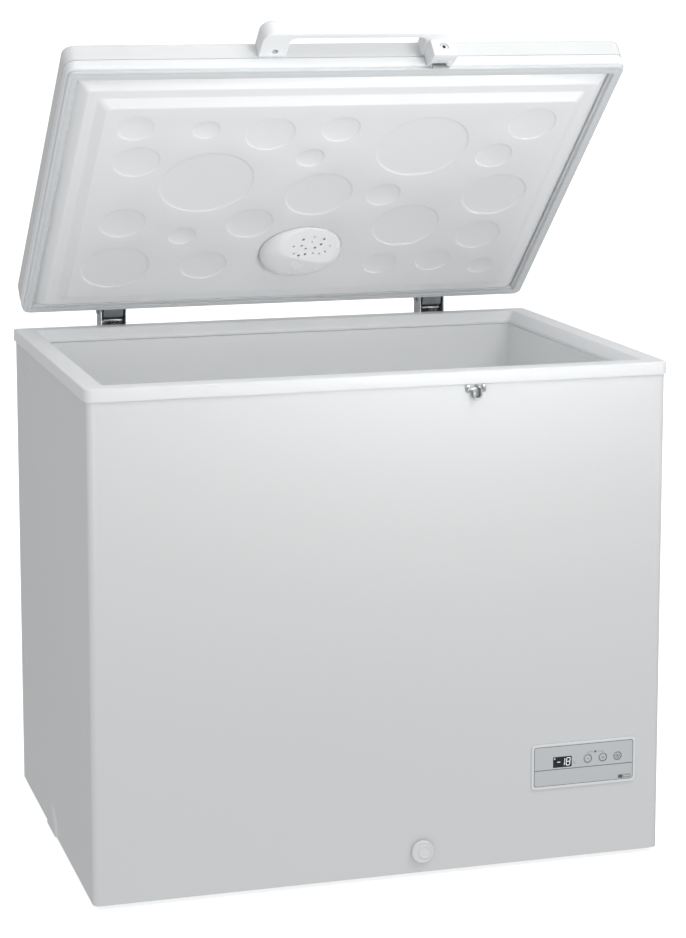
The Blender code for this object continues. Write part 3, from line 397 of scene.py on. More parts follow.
def rounded_rectangle(x0, x1, y0, y1, radius, steps=8, far_radius=None):
    """Outline points of a rectangle with round corners, anticlockwise. far_radius is for the y1 side."""
    far = radius if far_radius is None else far_radius
    corners = [(x1, y0, -90, radius), (x1, y1, 0, far), (x0, y1, 90, far), (x0, y0, 180, radius)]
    points = []
    for x, y, start, corner_r in corners:
        cx = x - math.copysign(corner_r, x - (x0 + x1) / 2)
        cy = y - math.copysign(corner_r, y - (y0 + y1) / 2)
        for i in range(steps + 1):
            angle = math.radians(start + 90 * i / steps)
            points.append((cx + corner_r * math.cos(angle), cy + corner_r * math.sin(angle)))
    return points


def circle(cx, cy, radius, sides):
    turns = [2 * math.pi * i / sides for i in range(sides)]
    return [(cx + radius * math.cos(a), cy + radius * math.sin(a)) for a in turns]


def filleted(points, radii, steps=4, closed=False):
    """Rounds the corners of a flat run of points. radii is one radius, or one for each point."""
    count = len(points)
    out = []
    for i, point in enumerate(points):
        radius = radii[i] if isinstance(radii, (list, tuple)) else radii
        if not radius or (not closed and i in (0, count - 1)):
            out.append(tuple(point))
            continue
        corner = Vector(point)
        before = Vector(points[i - 1]) - corner
        after = Vector(points[(i + 1) % count]) - corner
        half = before.angle(after) / 2
        reach = min(radius / math.tan(half), 0.48 * before.length, 0.48 * after.length)
        start, end = corner + before.normalized() * reach, corner + after.normalized() * reach
        for k in range(steps + 1):
            t = k / steps
            out.append(tuple(start * (1 - t) ** 2 + corner * 2 * t * (1 - t) + end * t ** 2))
    return out


def rows_of(bm, rings):
    return [[bm.verts.new(p) for p in ring] for ring in rings]


def bridge_rows(bm, rows):
    """Faces between each row of vertices and the next."""
    for low, high in zip(rows, rows[1:]):
        for i in range(len(low)):
            j = (i + 1) % len(low)
            bm.faces.new((low[i], low[j], high[j], high[i]))


def loft(name, rings, mat=None, hollow=False, angle=35.0):
    """Joins rings of equal point count. Ends are capped, or joined to each other if hollow."""
    bm = bmesh.new()
    rows = rows_of(bm, rings)
    if hollow:
        rows.append(rows[0])
    else:
        bm.faces.new(rows[0])
        bm.faces.new(rows[-1])
    bridge_rows(bm, rows)
    return finish_mesh(name, bm, mat, angle)


def flat_ring(outline, z):
    return [(x, y, z) for x, y in outline]


def prism(name, outline, axis, a, b, mat=None, angle=35.0):
    """A straight bar of an outline in XZ along Y, in YZ along X, or in XY along Z."""
    at = "XYZ".index(axis)
    rings = [[(*point[:at], w, *point[at:]) for point in outline] for w in (a, b)]
    return loft(name, rings, mat, angle=angle)


def turned(name, centre, axis, profile, sides=48, mat=None):
    """Turns (radius, distance along the axis) points round an axis letter through centre."""
    rings = []
    for radius, along in profile:
        ring = []
        for u, v in circle(0.0, 0.0, radius, sides):
            offset = {"X": (along, u, v), "Y": (v, along, u), "Z": (u, v, along)}[axis]
            ring.append(Vector(centre) + Vector(offset))
        rings.append(ring)
    return loft(name, rings, mat)


def applied(obj, kind, **settings):
    """Adds a modifier and bakes it into the mesh."""
    modifier = obj.modifiers.new(kind.lower(), kind)
    for key, value in settings.items():
        setattr(modifier, key, value)
    view = bpy.context.evaluated_depsgraph_get()
    mesh = bpy.data.meshes.new_from_object(obj.evaluated_get(view))
    obj.modifiers.clear()
    obj.data = mesh
    return obj


def bevelled(obj, width, segments=3, angle=40.0):
    applied(obj, "BEVEL", width=width, segments=segments, limit_method="ANGLE",
            angle_limit=math.radians(angle), harden_normals=False)
    obj.data.shade_smooth()
    obj.data.set_sharp_from_angle(angle=math.radians(32))
    return obj


def box(name, lo, hi):
    return prism(name, rectangle(lo[0], hi[0], lo[1], hi[1]), "Z", lo[2], hi[2])


def boolean(obj, other, operation):
    applied(obj, "BOOLEAN", operation=operation, object=other, solver="EXACT")
    bpy.data.objects.remove(other)
    return obj


def cut(obj, *cutters):
    for cutter in cutters:
        boolean(obj, cutter, "DIFFERENCE")
    return obj


def join(obj, *others):
    for other in others:
        boolean(obj, other, "UNION")
    return obj


def bore(centre, axis, radius, reach, sides=32):
    return turned("bore", centre, axis, [(radius, -reach), (radius, reach)], sides)


def smooth_again(obj, angle=35.0):
    obj.data.shade_smooth()
    obj.data.set_sharp_from_angle(angle=math.radians(angle))
    return obj


def settle(obj, body, slot, *nodes, lid=False):
    """Gives a piece its slot's finish unless it has its own, turns a lid piece to its resting angle, and
    hangs the piece on its body in place of its CAD nodes."""
    if not obj.data.materials:
        obj.data.materials.append(MATS[slot])
    if lid:
        obj.data.transform(LID_TURN)
    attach(obj, body)
    if nodes:
        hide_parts(*nodes)
    return obj


def softened(node, body, slot, width):
    """A CAD piece's shape with its sharp edges really rounded."""
    bm = bmesh.new()
    bm.from_mesh(NODES[node].data)
    bmesh.ops.remove_doubles(bm, verts=bm.verts, dist=0.00001)
    bmesh.ops.dissolve_limit(bm, angle_limit=math.radians(1.0), verts=bm.verts, edges=bm.edges)
    obj = finish_mesh(node + "_soft", bm)
    bevelled(obj, width, 2, angle=30.0)
    settle(obj, body, slot, node)


def coil_spring(side):
    """A hinge's coil spring."""
    lo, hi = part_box(f"hinge_spring_{side}")
    x, y = (lo[0] + hi[0]) / 2, (lo[1] + hi[1]) / 2
    low, high, steps = lo[2] + SPRING_WIRE, hi[2] - SPRING_WIRE, 24
    rings = []
    for i in range(SPRING_TURNS * steps + 1):
        angle = 2 * math.pi * i / steps
        c, s = math.cos(angle), math.sin(angle)
        z = low + (high - low) * i / (SPRING_TURNS * steps)
        rings.append([(x + (SPRING_R + px) * c, y + (SPRING_R + px) * s, z + pz)
                      for px, pz in circle(0.0, 0.0, SPRING_WIRE, 10)])
    spring = loft(f"hinge_coil_{side}", rings)
    settle(spring, "cabinet", "spring_steel", f"hinge_spring_{side}")
    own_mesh(spring)


# Cabinet


def cabinet_wrap():
    """Steel wrap of front and sides with its folded corners, openings and the side's half-moon boss."""
    steps, inner_r = 12, CORNER_R - SHEET
    outer, inner = [(-HALF_W, BACK)], [(-HALF_W + SHEET, BACK)]
    for cx, start in ((-HALF_W + CORNER_R, 180), (HALF_W - CORNER_R, 270)):
        for i in range(steps + 1):
            angle = math.radians(start + 90 * i / steps)
            c, s = math.cos(angle), math.sin(angle)
            outer.append((cx + CORNER_R * c, FRONT + CORNER_R + CORNER_R * s))
            inner.append((cx + inner_r * c, FRONT + CORNER_R + inner_r * s))
    outer.append((HALF_W, BACK))
    inner.append((HALF_W - SHEET, BACK))
    wrap = prism("cabinet_wrap", outer + inner[::-1], "Z", BOTTOM, RIM_Z - 0.006, angle=30)
    vent = box("vent", (HALF_W - 0.010, VENT_Y[0], VENT_Z[0]), (HALF_W + 0.010, VENT_Y[1], VENT_Z[1]))
    panel = box("panel_hole", (PANEL_X[0] + 0.004, FRONT - 0.01, PANEL_Z[0] + 0.004),
                (PANEL_X[1] - 0.004, FRONT + 0.01, PANEL_Z[1] - 0.004))
    cut(wrap, vent, panel, bore((DRAIN_X, FRONT, DRAIN_Z), "Y", 0.0130, 0.01))
    settle(smooth_again(wrap, 30), "cabinet", "painted_white", "cabinet_shell")

    profile = [(-0.0005, 0.042), (0.0, 0.0418), (0.0008, 0.0408), (0.0022, 0.0385), (0.0028, 0.0370),
               (0.0030, 0.0345)]
    arc = [math.pi * i / 32 for i in range(33)]
    rings = [[(-HALF_W - out, BOSS_Y + r * math.cos(a), BOSS_Z + r * math.sin(a)) for a in arc]
             for out, r in profile]
    settle(loft("side_boss", rings), "cabinet", "painted_white")


def rim():
    """Moulded white rim: outer skirt, flat top and the sloped collar down to the tub."""
    low, skin = RIM_Z - RIM_H, 0.0030
    section = [
        (0.0, low), (0.0, RIM_Z), (RIM_TOP_W, RIM_Z), (COLLAR_W, RIM_Z - COLLAR_DROP), (COLLAR_W, low),
        (COLLAR_W - 0.0025, low), (COLLAR_W - 0.0025, RIM_Z - COLLAR_DROP - 0.0005),
        (RIM_TOP_W - 0.0015, RIM_Z - skin), (skin, RIM_Z - skin), (skin, low),
    ]
    radii = [0.0008, 0.0030, 0.0030, 0.0040, 0.0006, 0.0006, 0.0, 0.0, 0.0, 0.0006]
    rings = []
    for inset, z in filleted(section, radii, 4, closed=True):
        far = 0.003 if inset < skin else 0.0008 + inset * 0.14
        outline = rounded_rectangle(-HALF_W - RIM_OVERHANG + inset, HALF_W + RIM_OVERHANG - inset,
                                    FRONT - RIM_OVERHANG + inset, BACK + 0.0033 - inset,
                                    max(0.0135 - inset, 0.007), 10, far)
        rings.append(flat_ring(outline, z))
    settle(loft("rim", rings, hollow=True), "cabinet", "white_plastic", "top_frame")


def tub_space(name, grow, top):
    """The tub's space, grown outwards: a deep part and a shallow part over the compressor bay."""
    fillet, corner = 0.014, 0.020 + grow
    parts = []
    for x1, floor in ((STEP_X + grow, TUB_FLOOR - grow), (HALF_W - WALL + grow, STEP_Z - grow)):
        rings = []
        for k in range(6):
            angle = math.radians(90 * k / 5)
            inset = (fillet + grow) * (1 - math.sin(angle))
            z = floor + (fillet + grow) * (1 - math.cos(angle))
            off = WALL - grow + inset
            outline = rounded_rectangle(-HALF_W + off, x1 - inset, FRONT + off, BACK - off,
                                        max(corner - inset, 0.006), 8)
            rings.append(flat_ring(outline, z))
        rings.append([(x, y, top) for x, y, z in rings[-1]])
        parts.append(loft(name, rings))
    return join(*parts)


def tub():
    """One-piece inner tub with filleted floor, stepped over the compressor bay, and its flange."""
    thickness, top = 0.0012, RIM_Z - RIM_H - GAP
    liner = tub_space("tub", thickness, top)
    flange = rounded_rectangle(-0.432, 0.432, -0.312, 0.278, 0.030)
    join(liner, prism("flange", flange, "Z", top - thickness, top))
    cut(liner, tub_space("space", 0.0, RIM_Z), bore((DRAIN_X, PLUG_Y, TUB_FLOOR), "Z", PLUG_HOLE_R, 0.03))
    settle(smooth_again(liner, 30), "cabinet", "tub_liner", "inner_liner")


def back_sheet():
    """Back panel with two long pressed beads and the window for the compressor bay."""
    x0, x1 = -HALF_W + SHEET + GAP, HALF_W - SHEET - GAP
    outline = rounded_rectangle(x0, x1, BOTTOM + 0.001, RIM_Z - 0.0065, 0.002, 3)
    sheet = prism("back_sheet", outline, "Y", BACK - 0.0020, BACK - 0.0005)
    cut(sheet, box("window", (BAY_X[0], BACK - 0.01, BAY_Z[0]), (BAY_X[1], BACK + 0.01, BAY_Z[1])))
    half_w, half_h, middle = BEAD_HALF_W, (BEAD_Z[1] - BEAD_Z[0]) / 2, (BEAD_Z[0] + BEAD_Z[1]) / 2
    bead = rounded_rectangle(-half_w, half_w, -half_h, half_h, half_w - 0.0001, 6)
    for x in BEAD_XS:
        rings = []
        for depth, inset in ((0.0003, 0.0), (0.0009, 0.0012), (0.0011, 0.0025)):
            narrow, short = 1 - inset / half_w, 1 - inset / half_h
            rings.append([(x + u * narrow, BACK - depth, middle + v * short) for u, v in bead])
        cut(sheet, loft("bead", rings))
    settle(smooth_again(sheet, 30), "cabinet", "galvanised", "back_panel")


def vent_grille():
    """Moulded vent frame with sloped slats over the compressor bay."""
    def edge(out, grow, radius):
        outline = rounded_rectangle(VENT_Y[0] - grow, VENT_Y[1] + grow, VENT_Z[0] - grow, VENT_Z[1] + grow,
                                    radius)
        return [(HALF_W + out, y, z) for y, z in outline]

    rings = [edge(-0.006, -0.0005, 0.004), edge(GAP, -0.0005, 0.004), edge(GAP, 0.008, 0.008),
             edge(0.0012, 0.008, 0.008), edge(0.0022, 0.0072, 0.0074), edge(0.0022, -0.007, 0.004),
             edge(-0.006, -0.007, 0.004)]
    grille = loft("vent_grille", rings, hollow=True)
    slat = [(-0.0055, 0.0042), (-0.0042, 0.0048), (0.0016, -0.0024), (0.0010, -0.0034), (-0.0002, -0.0030)]
    for i in range(SLATS):
        z = SLAT_LOW + SLAT_STEP * i
        rings = [[(HALF_W + out, y, z + up) for out, up in slat]
                 for y in (VENT_Y[0] + 0.006, VENT_Y[1] - 0.006)]
        join(grille, loft("slat", rings))
    settle(smooth_again(grille, 30), "cabinet", "white_plastic", "side_grille")


# Front panel


def printed(name, outline, y_out, thickness=0.00012, mat=PRINT, body="cabinet"):
    """A thin raised mark on a face that looks along -Y, with its outline in XZ."""
    return settle(prism(name, outline, "Y", y_out, y_out + thickness, mat), body, "panel_plastic")


def printed_ring(name, cx, cz, outer, inner, y_out, mat=PRINT, body="cabinet", start=0.0, sweep=360.0):
    """A thin raised ring or arc mark."""
    sides = max(10, int(sweep / 8))
    whole = sweep >= 360.0
    count = sides if whole else sides + 1
    angles = [math.radians(start + sweep * i / sides) for i in range(count)]
    rows = []
    for radius in (outer, inner):
        rows.append([(cx + radius * math.cos(a), cz + radius * math.sin(a)) for a in angles])
    if not whole:
        return printed(name, rows[0] + rows[1][::-1], y_out, mat=mat, body=body)
    low, high = y_out, y_out + 0.00012
    rings = [[(x, y, z) for x, z in row] for row, y in
             ((rows[0], low), (rows[0], high), (rows[1], high), (rows[1], low))]
    return settle(loft(name, rings, mat, hollow=True), body, "panel_plastic")


def segment_digit(name, x, z, height, lit):
    """Slanted seven-segment digit. lit holds letters a to g."""
    w, t, lean = height * 0.50, height * 0.10, 0.10
    places = {
        "a": (0.5, 1.0, 1), "b": (1.0, 0.75, 0), "c": (1.0, 0.25, 0), "d": (0.5, 0.0, 1),
        "e": (0.0, 0.25, 0), "f": (0.0, 0.75, 0), "g": (0.5, 0.5, 1),
    }
    for letter in lit:
        u, v, level = places[letter]
        half = (w if level else height / 2) / 2 - t * 0.45
        cx, cz = x + u * w, z + v * height
        along, across = (half, t / 2) if level else (t / 2, half)
        tip = t / 2
        if level:
            shape = [(-along - tip * 0.6, 0), (-along, -across), (along, -across), (along + tip * 0.6, 0),
                     (along, across), (-along, across)]
        else:
            shape = [(0, -across - tip * 0.6), (along, -across), (along, across), (0, across + tip * 0.6),
                     (-along, across), (-along, -across)]
        outline = [(cx + a + lean * (cz + b - z), cz + b) for a, b in shape]
        bar = prism(f"{name}_{letter}", outline, "Y", FASCIA_Y + 0.00005, FASCIA_Y + 0.00018, DIGIT)
        settle(bar, "cabinet", "display")


def control_panel():
    """Bezel, fascia with its marks, display digits and the three buttons."""
    def outline(inset, radius):
        return rounded_rectangle(PANEL_X[0] + inset, PANEL_X[1] - inset, PANEL_Z[0] + inset,
                                 PANEL_Z[1] - inset, radius)

    top = PANEL_TOP_Y
    section = [(0.0, FRONT - GAP, 0.006), (0.0, FRONT - 0.0015, 0.006), (0.0003, top + 0.0003, 0.006),
               (0.0010, top, 0.006), (0.0034, top, 0.004), (0.0041, top + 0.0003, 0.004),
               (0.0044, top + 0.0012, 0.004), (0.0045, FRONT - GAP, 0.004)]
    bezel = [[(x, y, z) for x, z in outline(inset, radius)] for inset, y, radius in section]
    settle(loft("bezel", bezel, hollow=True), "cabinet", "white_plastic", "panel_bezel")

    face = prism("fascia", outline(0.0052, 0.0035), "Y", FASCIA_Y, FASCIA_Y + 0.003)
    bevelled(face, 0.0003, 2)
    cut(face, prism("hole", rounded_rectangle(*WINDOW_X, *WINDOW_Z, 0.001, 3), "Y",
                    FASCIA_Y - 0.01, FASCIA_Y + 0.01))
    for x in BUTTON_XS.values():
        cut(face, bore((x, FASCIA_Y, BUTTON_Z), "Y", BUTTON_R + GAP, 0.01, 48))
    settle(smooth_again(face), "cabinet", "panel_plastic", "panel_fascia")
    fascia_marks()
    for name, x, lit in DIGIT_PLACES:
        segment_digit("digit_" + name, x, DIGIT_Z, DIGIT_H, lit)
    printed("running_light", circle(*RUNNING_LIGHT, 0.0010, 20), FASCIA_Y + 0.00005, mat=DIGIT)
    for name, x in BUTTON_XS.items():
        button(name, x)


def fascia_marks():
    """Printed line, badge without words, bracket with a padlock sign between two buttons, degrees Celsius."""
    ink = FASCIA_Y - 0.00010
    printed("divider", rectangle(PANEL_X[0] + 0.0054, PANEL_X[1] - 0.0054, *DIVIDER_Z), ink)
    left, right, low, high = *BADGE_X, *BADGE_Z
    field = rounded_rectangle(left + 0.0005, left + 0.0075, low + 0.0005, high - 0.0005, 0.0004, 2)
    bar = rounded_rectangle(left + 0.0092, right - 0.0013, low + 0.0021, high - 0.0021, 0.0004, 2)
    printed("badge_frame", rounded_rectangle(left, right, low, high, 0.0008, 3), ink, mat=SOFT_PRINT)
    printed("badge_field", field, ink - 0.0001)
    printed("badge_bar", bar, ink - 0.0001, mat=MATS["panel_plastic"])
    minus_x, plus_x = BUTTON_XS["button_minus"], BUTTON_XS["button_plus"]
    lock_x, bracket_z, t = (minus_x + plus_x) / 2, 0.1768, 0.00035
    for name, x0, x1, z0, z1 in (
        ("bracket_left", minus_x, 0.3448, bracket_z - t, bracket_z + t),
        ("bracket_right", 0.3507, plus_x, bracket_z - t, bracket_z + t),
        ("bracket_drop_left", minus_x - t, minus_x + t, BUTTON_Z + 0.0078, bracket_z + t),
        ("bracket_drop_right", plus_x - t, plus_x + t, BUTTON_Z + 0.0078, bracket_z + t),
    ):
        printed(name, rectangle(x0, x1, z0, z1), ink, mat=SOFT_PRINT)
    body = rounded_rectangle(lock_x - 0.0017, lock_x + 0.0017, 0.1754, 0.1778, 0.0004, 2)
    printed("lock_sign_body", body, ink)
    printed_ring("lock_sign_shackle", lock_x, 0.1778, 0.0014, 0.0009, ink, start=0, sweep=180)
    printed_ring("degree_sign", 0.3103, 0.1640, 0.0007, 0.0004, ink, mat=SOFT_PRINT)
    printed_ring("celsius_sign", 0.3133, 0.1618, 0.0018, 0.0013, ink, mat=SOFT_PRINT, start=50, sweep=260)


def button(name, x):
    """Round key with a slightly dished face, its printed ring and its sign."""
    profile = [(0.0002, -0.0006), (0.0030, -0.0006), (BUTTON_R - 0.0014, -0.0004), (BUTTON_R - 0.0004, 0.0),
               (BUTTON_R, 0.0006), (BUTTON_R, 0.0055), (0.0002, 0.0055)]
    key = turned(name + "_cap", (x, FASCIA_Y, BUTTON_Z), "Y", profile)
    settle(key, name, "panel_plastic", name)
    top, reach, thin = FASCIA_Y - 0.00072, 0.0022, 0.0003
    printed_ring(name + "_ring", x, BUTTON_Z, 0.0062, 0.0055, FASCIA_Y - 0.0005, body=name)
    if name == "button_freeze":
        printed_ring(name + "_target", x, BUTTON_Z, 0.0034, 0.0027, top, body=name)
        printed(name + "_dot", circle(x, BUTTON_Z, 0.0012, 20), top, body=name)
        return
    arms = [(reach, thin), (thin, reach)] if name == "button_plus" else [(reach, thin)]
    for i, (half_w, half_h) in enumerate(arms):
        arm = rectangle(x - half_w, x + half_w, BUTTON_Z - half_h, BUTTON_Z + half_h)
        printed(f"{name}_mark_{i}", arm, top, body=name)


def drain_front():
    """Drain dial with its raised lip and eccentric ridge."""
    profile = [
        (0.0002, -0.0082), (DIAL_R - 0.0034, -0.0082), (DIAL_R - 0.0028, -0.0086), (DIAL_R - 0.0022, -0.0090),
        (DIAL_R - 0.0012, -0.0089), (DIAL_R - 0.0004, -0.0083), (DIAL_R, -0.0074), (DIAL_R, -0.0036),
        (DIAL_R - 0.0006, -0.0030), (0.0060, -0.0030), (0.0060, 0.0), (0.0002, 0.0),
    ]
    dial = turned("dial", (DRAIN_X, FRONT, DRAIN_Z), "Y", profile, 64)
    ridge = [(0.0108, -0.0080), (0.0107, -0.0094), (0.0101, -0.0101), (0.0088, -0.0102), (0.0082, -0.0097),
             (0.0078, -0.0090), (0.0002, -0.0089)]
    join(dial, turned("ridge", (DRAIN_X + 0.0025, FRONT, DRAIN_Z + 0.0005), "Y", ridge))
    settle(smooth_again(dial), "drain_dial", "white_plastic", "drain_dial")


def striker_plate():
    """Latch keeper: two screwed ears and the bent loop between them."""
    top, face = RIM_Z - RIM_H - 0.0005, FRONT - GAP
    made = None
    for x0, x1 in EARS_X:
        ear = prism("striker_piece", rounded_rectangle(x0, x1, top - 0.0130, top - 0.0004, 0.0032), "Y",
                    face - 0.0019, face)
        bevelled(ear, 0.0005, 2)
        made = join(made, ear) if made else ear
    bridge = rounded_rectangle(0.1300, 0.1560, top - 0.0090, top - 0.0045, 0.001, 3)
    join(made, prism("bridge", bridge, "Y", face - 0.0010, face - 0.0002))
    loop = prism("loop", rounded_rectangle(*LOOP_X, top - 0.0230, top - 0.0016, 0.0070), "Y",
                 face - 0.0097, face - 0.0006)
    eye = rounded_rectangle(LOOP_X[0] + 0.0022, LOOP_X[1] - 0.0028, top - 0.0208, top - 0.0040, 0.0048)
    cut(loop, prism("eye", eye, "Y", face - 0.02, face + 0.01))
    cut(loop, box("mouth", (0.1300, face - 0.02, top - 0.0100), (0.1422, face + 0.01, top + 0.01)))
    bevelled(loop, 0.0004, 2)
    join(made, loop)
    settle(smooth_again(made), "cabinet", "zinc", "striker")
    profile = [(0.0031, -0.0020), (0.0031, -0.0026), (0.0026, -0.0036), (0.0014, -0.0042), (0.0002, -0.0043)]
    for name, x in EAR_SCREWS_X.items():
        screw = turned(name + "_head", (x, face, top - 0.0065), "Y", profile, 28)
        cross_slots(screw, (x, face - 0.0043, top - 0.0065), "Y", 0.0019)
        settle(smooth_again(screw), "cabinet", "zinc", name)


def cross_slots(obj, centre, axis, reach, width=0.00035, depth=0.0008):
    """Cuts a cross recess into a screw head whose top is at centre."""
    for long_way in (0, 1):
        u, v = (reach, width) if long_way else (width, reach)
        size = {"Y": (u, depth, v), "Z": (u, v, depth)}[axis]
        lo, hi = ([c + sign * half for c, half in zip(centre, size)] for sign in (-1, 1))
        cut(obj, box("slot", lo, hi))


# Lid, modelled shut


def lid_outline(inset, shift=0.0, radius=None, steps=12):
    corner = max(LID_CORNER_R - inset, 0.003) if radius is None else radius
    return rounded_rectangle(-LID_HALF_W + inset, LID_HALF_W - inset,
                             LID_FRONT + inset + shift, LID_BACK - inset + shift, corner, steps)


def lid_shell():
    """Steel outer pan of the lid, open below, with a rolled upper edge."""
    outside = filleted([(0.0, LID_SKIN_Z), (0.0, LID_TOP), (0.012, LID_TOP)], 0.007, 7)
    inside = filleted([(0.012, LID_TOP - SHEET), (0.0015, LID_TOP - SHEET), (0.0015, LID_SKIN_Z)], 0.005, 4)
    rings = [flat_ring(lid_outline(inset), z) for inset, z in inside + outside]
    settle(loft("lid_shell", rings), "lid", "painted_white", "lid_skin", lid=True)


def lid_surround():
    """White edge moulding under the pan, mitred at its corners."""
    top = LID_SKIN_Z - GAP
    section = [(0.0008, top), (0.0008, LID_Z), (0.0200, LID_Z), (0.0200, top)]
    rings = []
    for inset, z in filleted(section, [0.0010, 0.0035, 0.0004, 0.0], 4, closed=True):
        shift, radius = (PLUG_SHIFT, 0.004) if inset > 0.0195 else (0.0, None)
        rings.append(flat_ring(lid_outline(inset, shift, radius), z))
    frame_ring = loft("lid_surround", rings, hollow=True)
    for sx in (-1, 1):
        for sy, y in ((-1, LID_FRONT + 0.010), (1, LID_BACK - 0.010)):
            slot = box("mitre", (-0.030, -0.0003, -0.0010), (0.030, 0.0003, 0.0005))
            place = Matrix.Translation((sx * (LID_HALF_W - 0.010), y, LID_Z))
            slot.data.transform(place @ Matrix.Rotation(math.radians(45 * sx * sy), 4, "Z"))
            cut(frame_ring, slot)
    settle(smooth_again(frame_ring), "lid", "white_plastic", "lid_frame", lid=True)


def door_seal():
    """Soft seal round the lid's underside with bellows on its outer side and a groove in its face."""
    low, high = RIM_Z + GAP, LID_Z - GAP
    section = [
        (0.0036, high), (0.0030, high - 0.0006), (0.0044, high - 0.0020), (0.0031, high - 0.0034),
        (0.0050, low), (0.0088, low), (0.0096, low + 0.0010), (0.0104, low), (0.0168, low),
        (0.0182, low + 0.0018), (0.0172, low + 0.0030), (0.0188, high - 0.0006), (0.0186, high),
    ]
    rings = []
    for inset, z in filleted(section, 0.0007, 3, closed=True):
        blend = max(0.0, min(1.0, (inset - 0.006) / 0.010))
        rings.append(flat_ring(lid_outline(inset, PLUG_SHIFT * blend, 0.012 - 0.008 * blend), z))
    settle(loft("door_seal", rings, hollow=True), "lid", "gasket", "lid_gasket", lid=True)


def ellipse(cx, cy, rx, ry, sides):
    return [(cx + rx * u, cy + ry * v) for u, v in circle(0.0, 0.0, 1.0, sides)]


def dimple_profile(radius):
    """Soft steep wall and then a shallow bowl, as (distance in from the edge, depth)."""
    points = []
    for t in (0.0, 0.12, 0.25, 0.4, 0.55, 0.7, 0.85):
        points.append((DIMPLE_WALL_W * t, DIMPLE_WALL * (0.5 - 0.5 * math.cos(math.pi * t))))
    for t in (0.0, 0.12, 0.25, 0.40, 0.60, 0.80, 1.0):
        inset = DIMPLE_WALL_W + (0.9 * radius - DIMPLE_WALL_W) * t
        points.append((inset, DIMPLE_WALL + DIMPLE_BOWL * (1 - (1 - t) ** 2)))
    return points


def inner_panel():
    """Thermoformed inner panel: two soft tiers, a plateau with round dimples and a seat for the lamp."""
    tiers = [(0.0211, LID_SKIN_Z - 0.001), (0.0211, LID_Z + 0.0065), (0.0376, LID_Z - 0.010),
             (0.0546, LID_Z - 0.010), (0.0686, PLATEAU_Z), (0.0740, PLATEAU_Z)]
    front = filleted(tiers, [0, 0.004, 0.005, 0.005, 0.005, 0], 5)
    rings = [flat_ring(lid_outline(inset, PLUG_SHIFT, 0.006 + 0.08 * (inset - 0.0211), 8), z)
             for inset, z in front]
    bm = bmesh.new()
    rows = rows_of(bm, rings)
    bridge_rows(bm, rows)

    holes = []
    for x, from_back, radius in DIMPLES:
        y, sides = LID_BACK - from_back, 72 if radius > 0.045 else 48
        holes.append([[(px, py, PLATEAU_Z + depth) for px, py in circle(x, y, radius - inset, sides)]
                      for inset, depth in dimple_profile(radius)])
    seat = [(0.0022, 0.0), (0.0016, 0.10), (0.0012, 0.60), (0.0010, 1.0), (-0.004, 1.0), (-0.03, 1.0)]
    holes.append([[(px, py, PLATEAU_Z + 0.0015 * share) for px, py in
                   ellipse(0.0, LAMP_Y, LAMP_HALF_W + grow, LAMP_HALF_D + grow, 96)] for grow, share in seat])
    fill_plateau(bm, rings[-1], holes)

    back = [(0.0700, PLATEAU_Z + 0.0058), (0.0560, LID_Z - 0.006), (0.0390, LID_Z - 0.006),
            (0.0235, LID_Z + 0.008), (0.0235, LID_SKIN_Z - 0.001)]
    back_rows = rows_of(bm, [flat_ring(lid_outline(inset, PLUG_SHIFT, 0.006, 8), z) for inset, z in back])
    bm.faces.new(back_rows[0])
    bridge_rows(bm, back_rows + [rows[0]])
    panel = finish_mesh("inner_panel", bm, angle=50)
    settle(panel, "lid", "lid_panel", "lid_liner", lid=True)


def fill_plateau(bm, outline, holes):
    """Flat triangles between the plateau's outline and the round shapes in it, which get their own rings."""
    points, edges = [], []
    for ring in [outline] + [hole[0] for hole in holes]:
        start = len(points)
        points.extend(Vector((x, y)) for x, y, z in ring)
        edges.extend((start + i, start + (i + 1) % len(ring)) for i in range(len(ring)))
    coords, _, faces, _, _, _ = delaunay_2d_cdt(points, edges, [], 1, 1e-7)
    verts = [bm.verts.new((p.x, p.y, PLATEAU_Z)) for p in coords]
    spaces = []
    for hole in holes:
        xs, ys = [p[0] for p in hole[0]], [p[1] for p in hole[0]]
        spaces.append(((min(xs) + max(xs)) / 2, (min(ys) + max(ys)) / 2,
                       (max(xs) - min(xs)) / 2, (max(ys) - min(ys)) / 2))
    for face in faces:
        middle = sum((coords[i] for i in face), Vector((0.0, 0.0))) / len(face)
        inside = any(((middle.x - cx) / rx) ** 2 + ((middle.y - cy) / ry) ** 2 < 0.999
                     for cx, cy, rx, ry in spaces)
        if not inside:
            bm.faces.new([verts[i] for i in face])
    for hole in holes:
        rows = rows_of(bm, hole)
        bridge_rows(bm, rows)
        bm.faces.new(rows[-1])
    loose = [v for v in verts if not v.link_faces]
    bmesh.ops.delete(bm, geom=loose, context="VERTS")


def foam_core():
    """Foam of the lid, kept clear of the inner panel's back."""
    plug = [(0.0710, PLATEAU_Z + 0.0062), (0.0565, LID_Z - 0.0055), (0.0395, LID_Z - 0.0055),
            (0.0240, LID_Z + 0.0085), (0.0240, LID_SKIN_Z)]
    pan = [(0.0023, LID_SKIN_Z, 0.016), (0.0023, LID_TOP - 0.0075, 0.016), (0.0075, LID_TOP - 0.0025, 0.012)]
    rings = [flat_ring(lid_outline(inset, PLUG_SHIFT, 0.006), z) for inset, z in plug]
    rings += [flat_ring(lid_outline(inset, 0.0, radius), z) for inset, z, radius in pan]
    settle(loft("foam_core", rings), "lid", "foam", "lid_foam", lid=True)


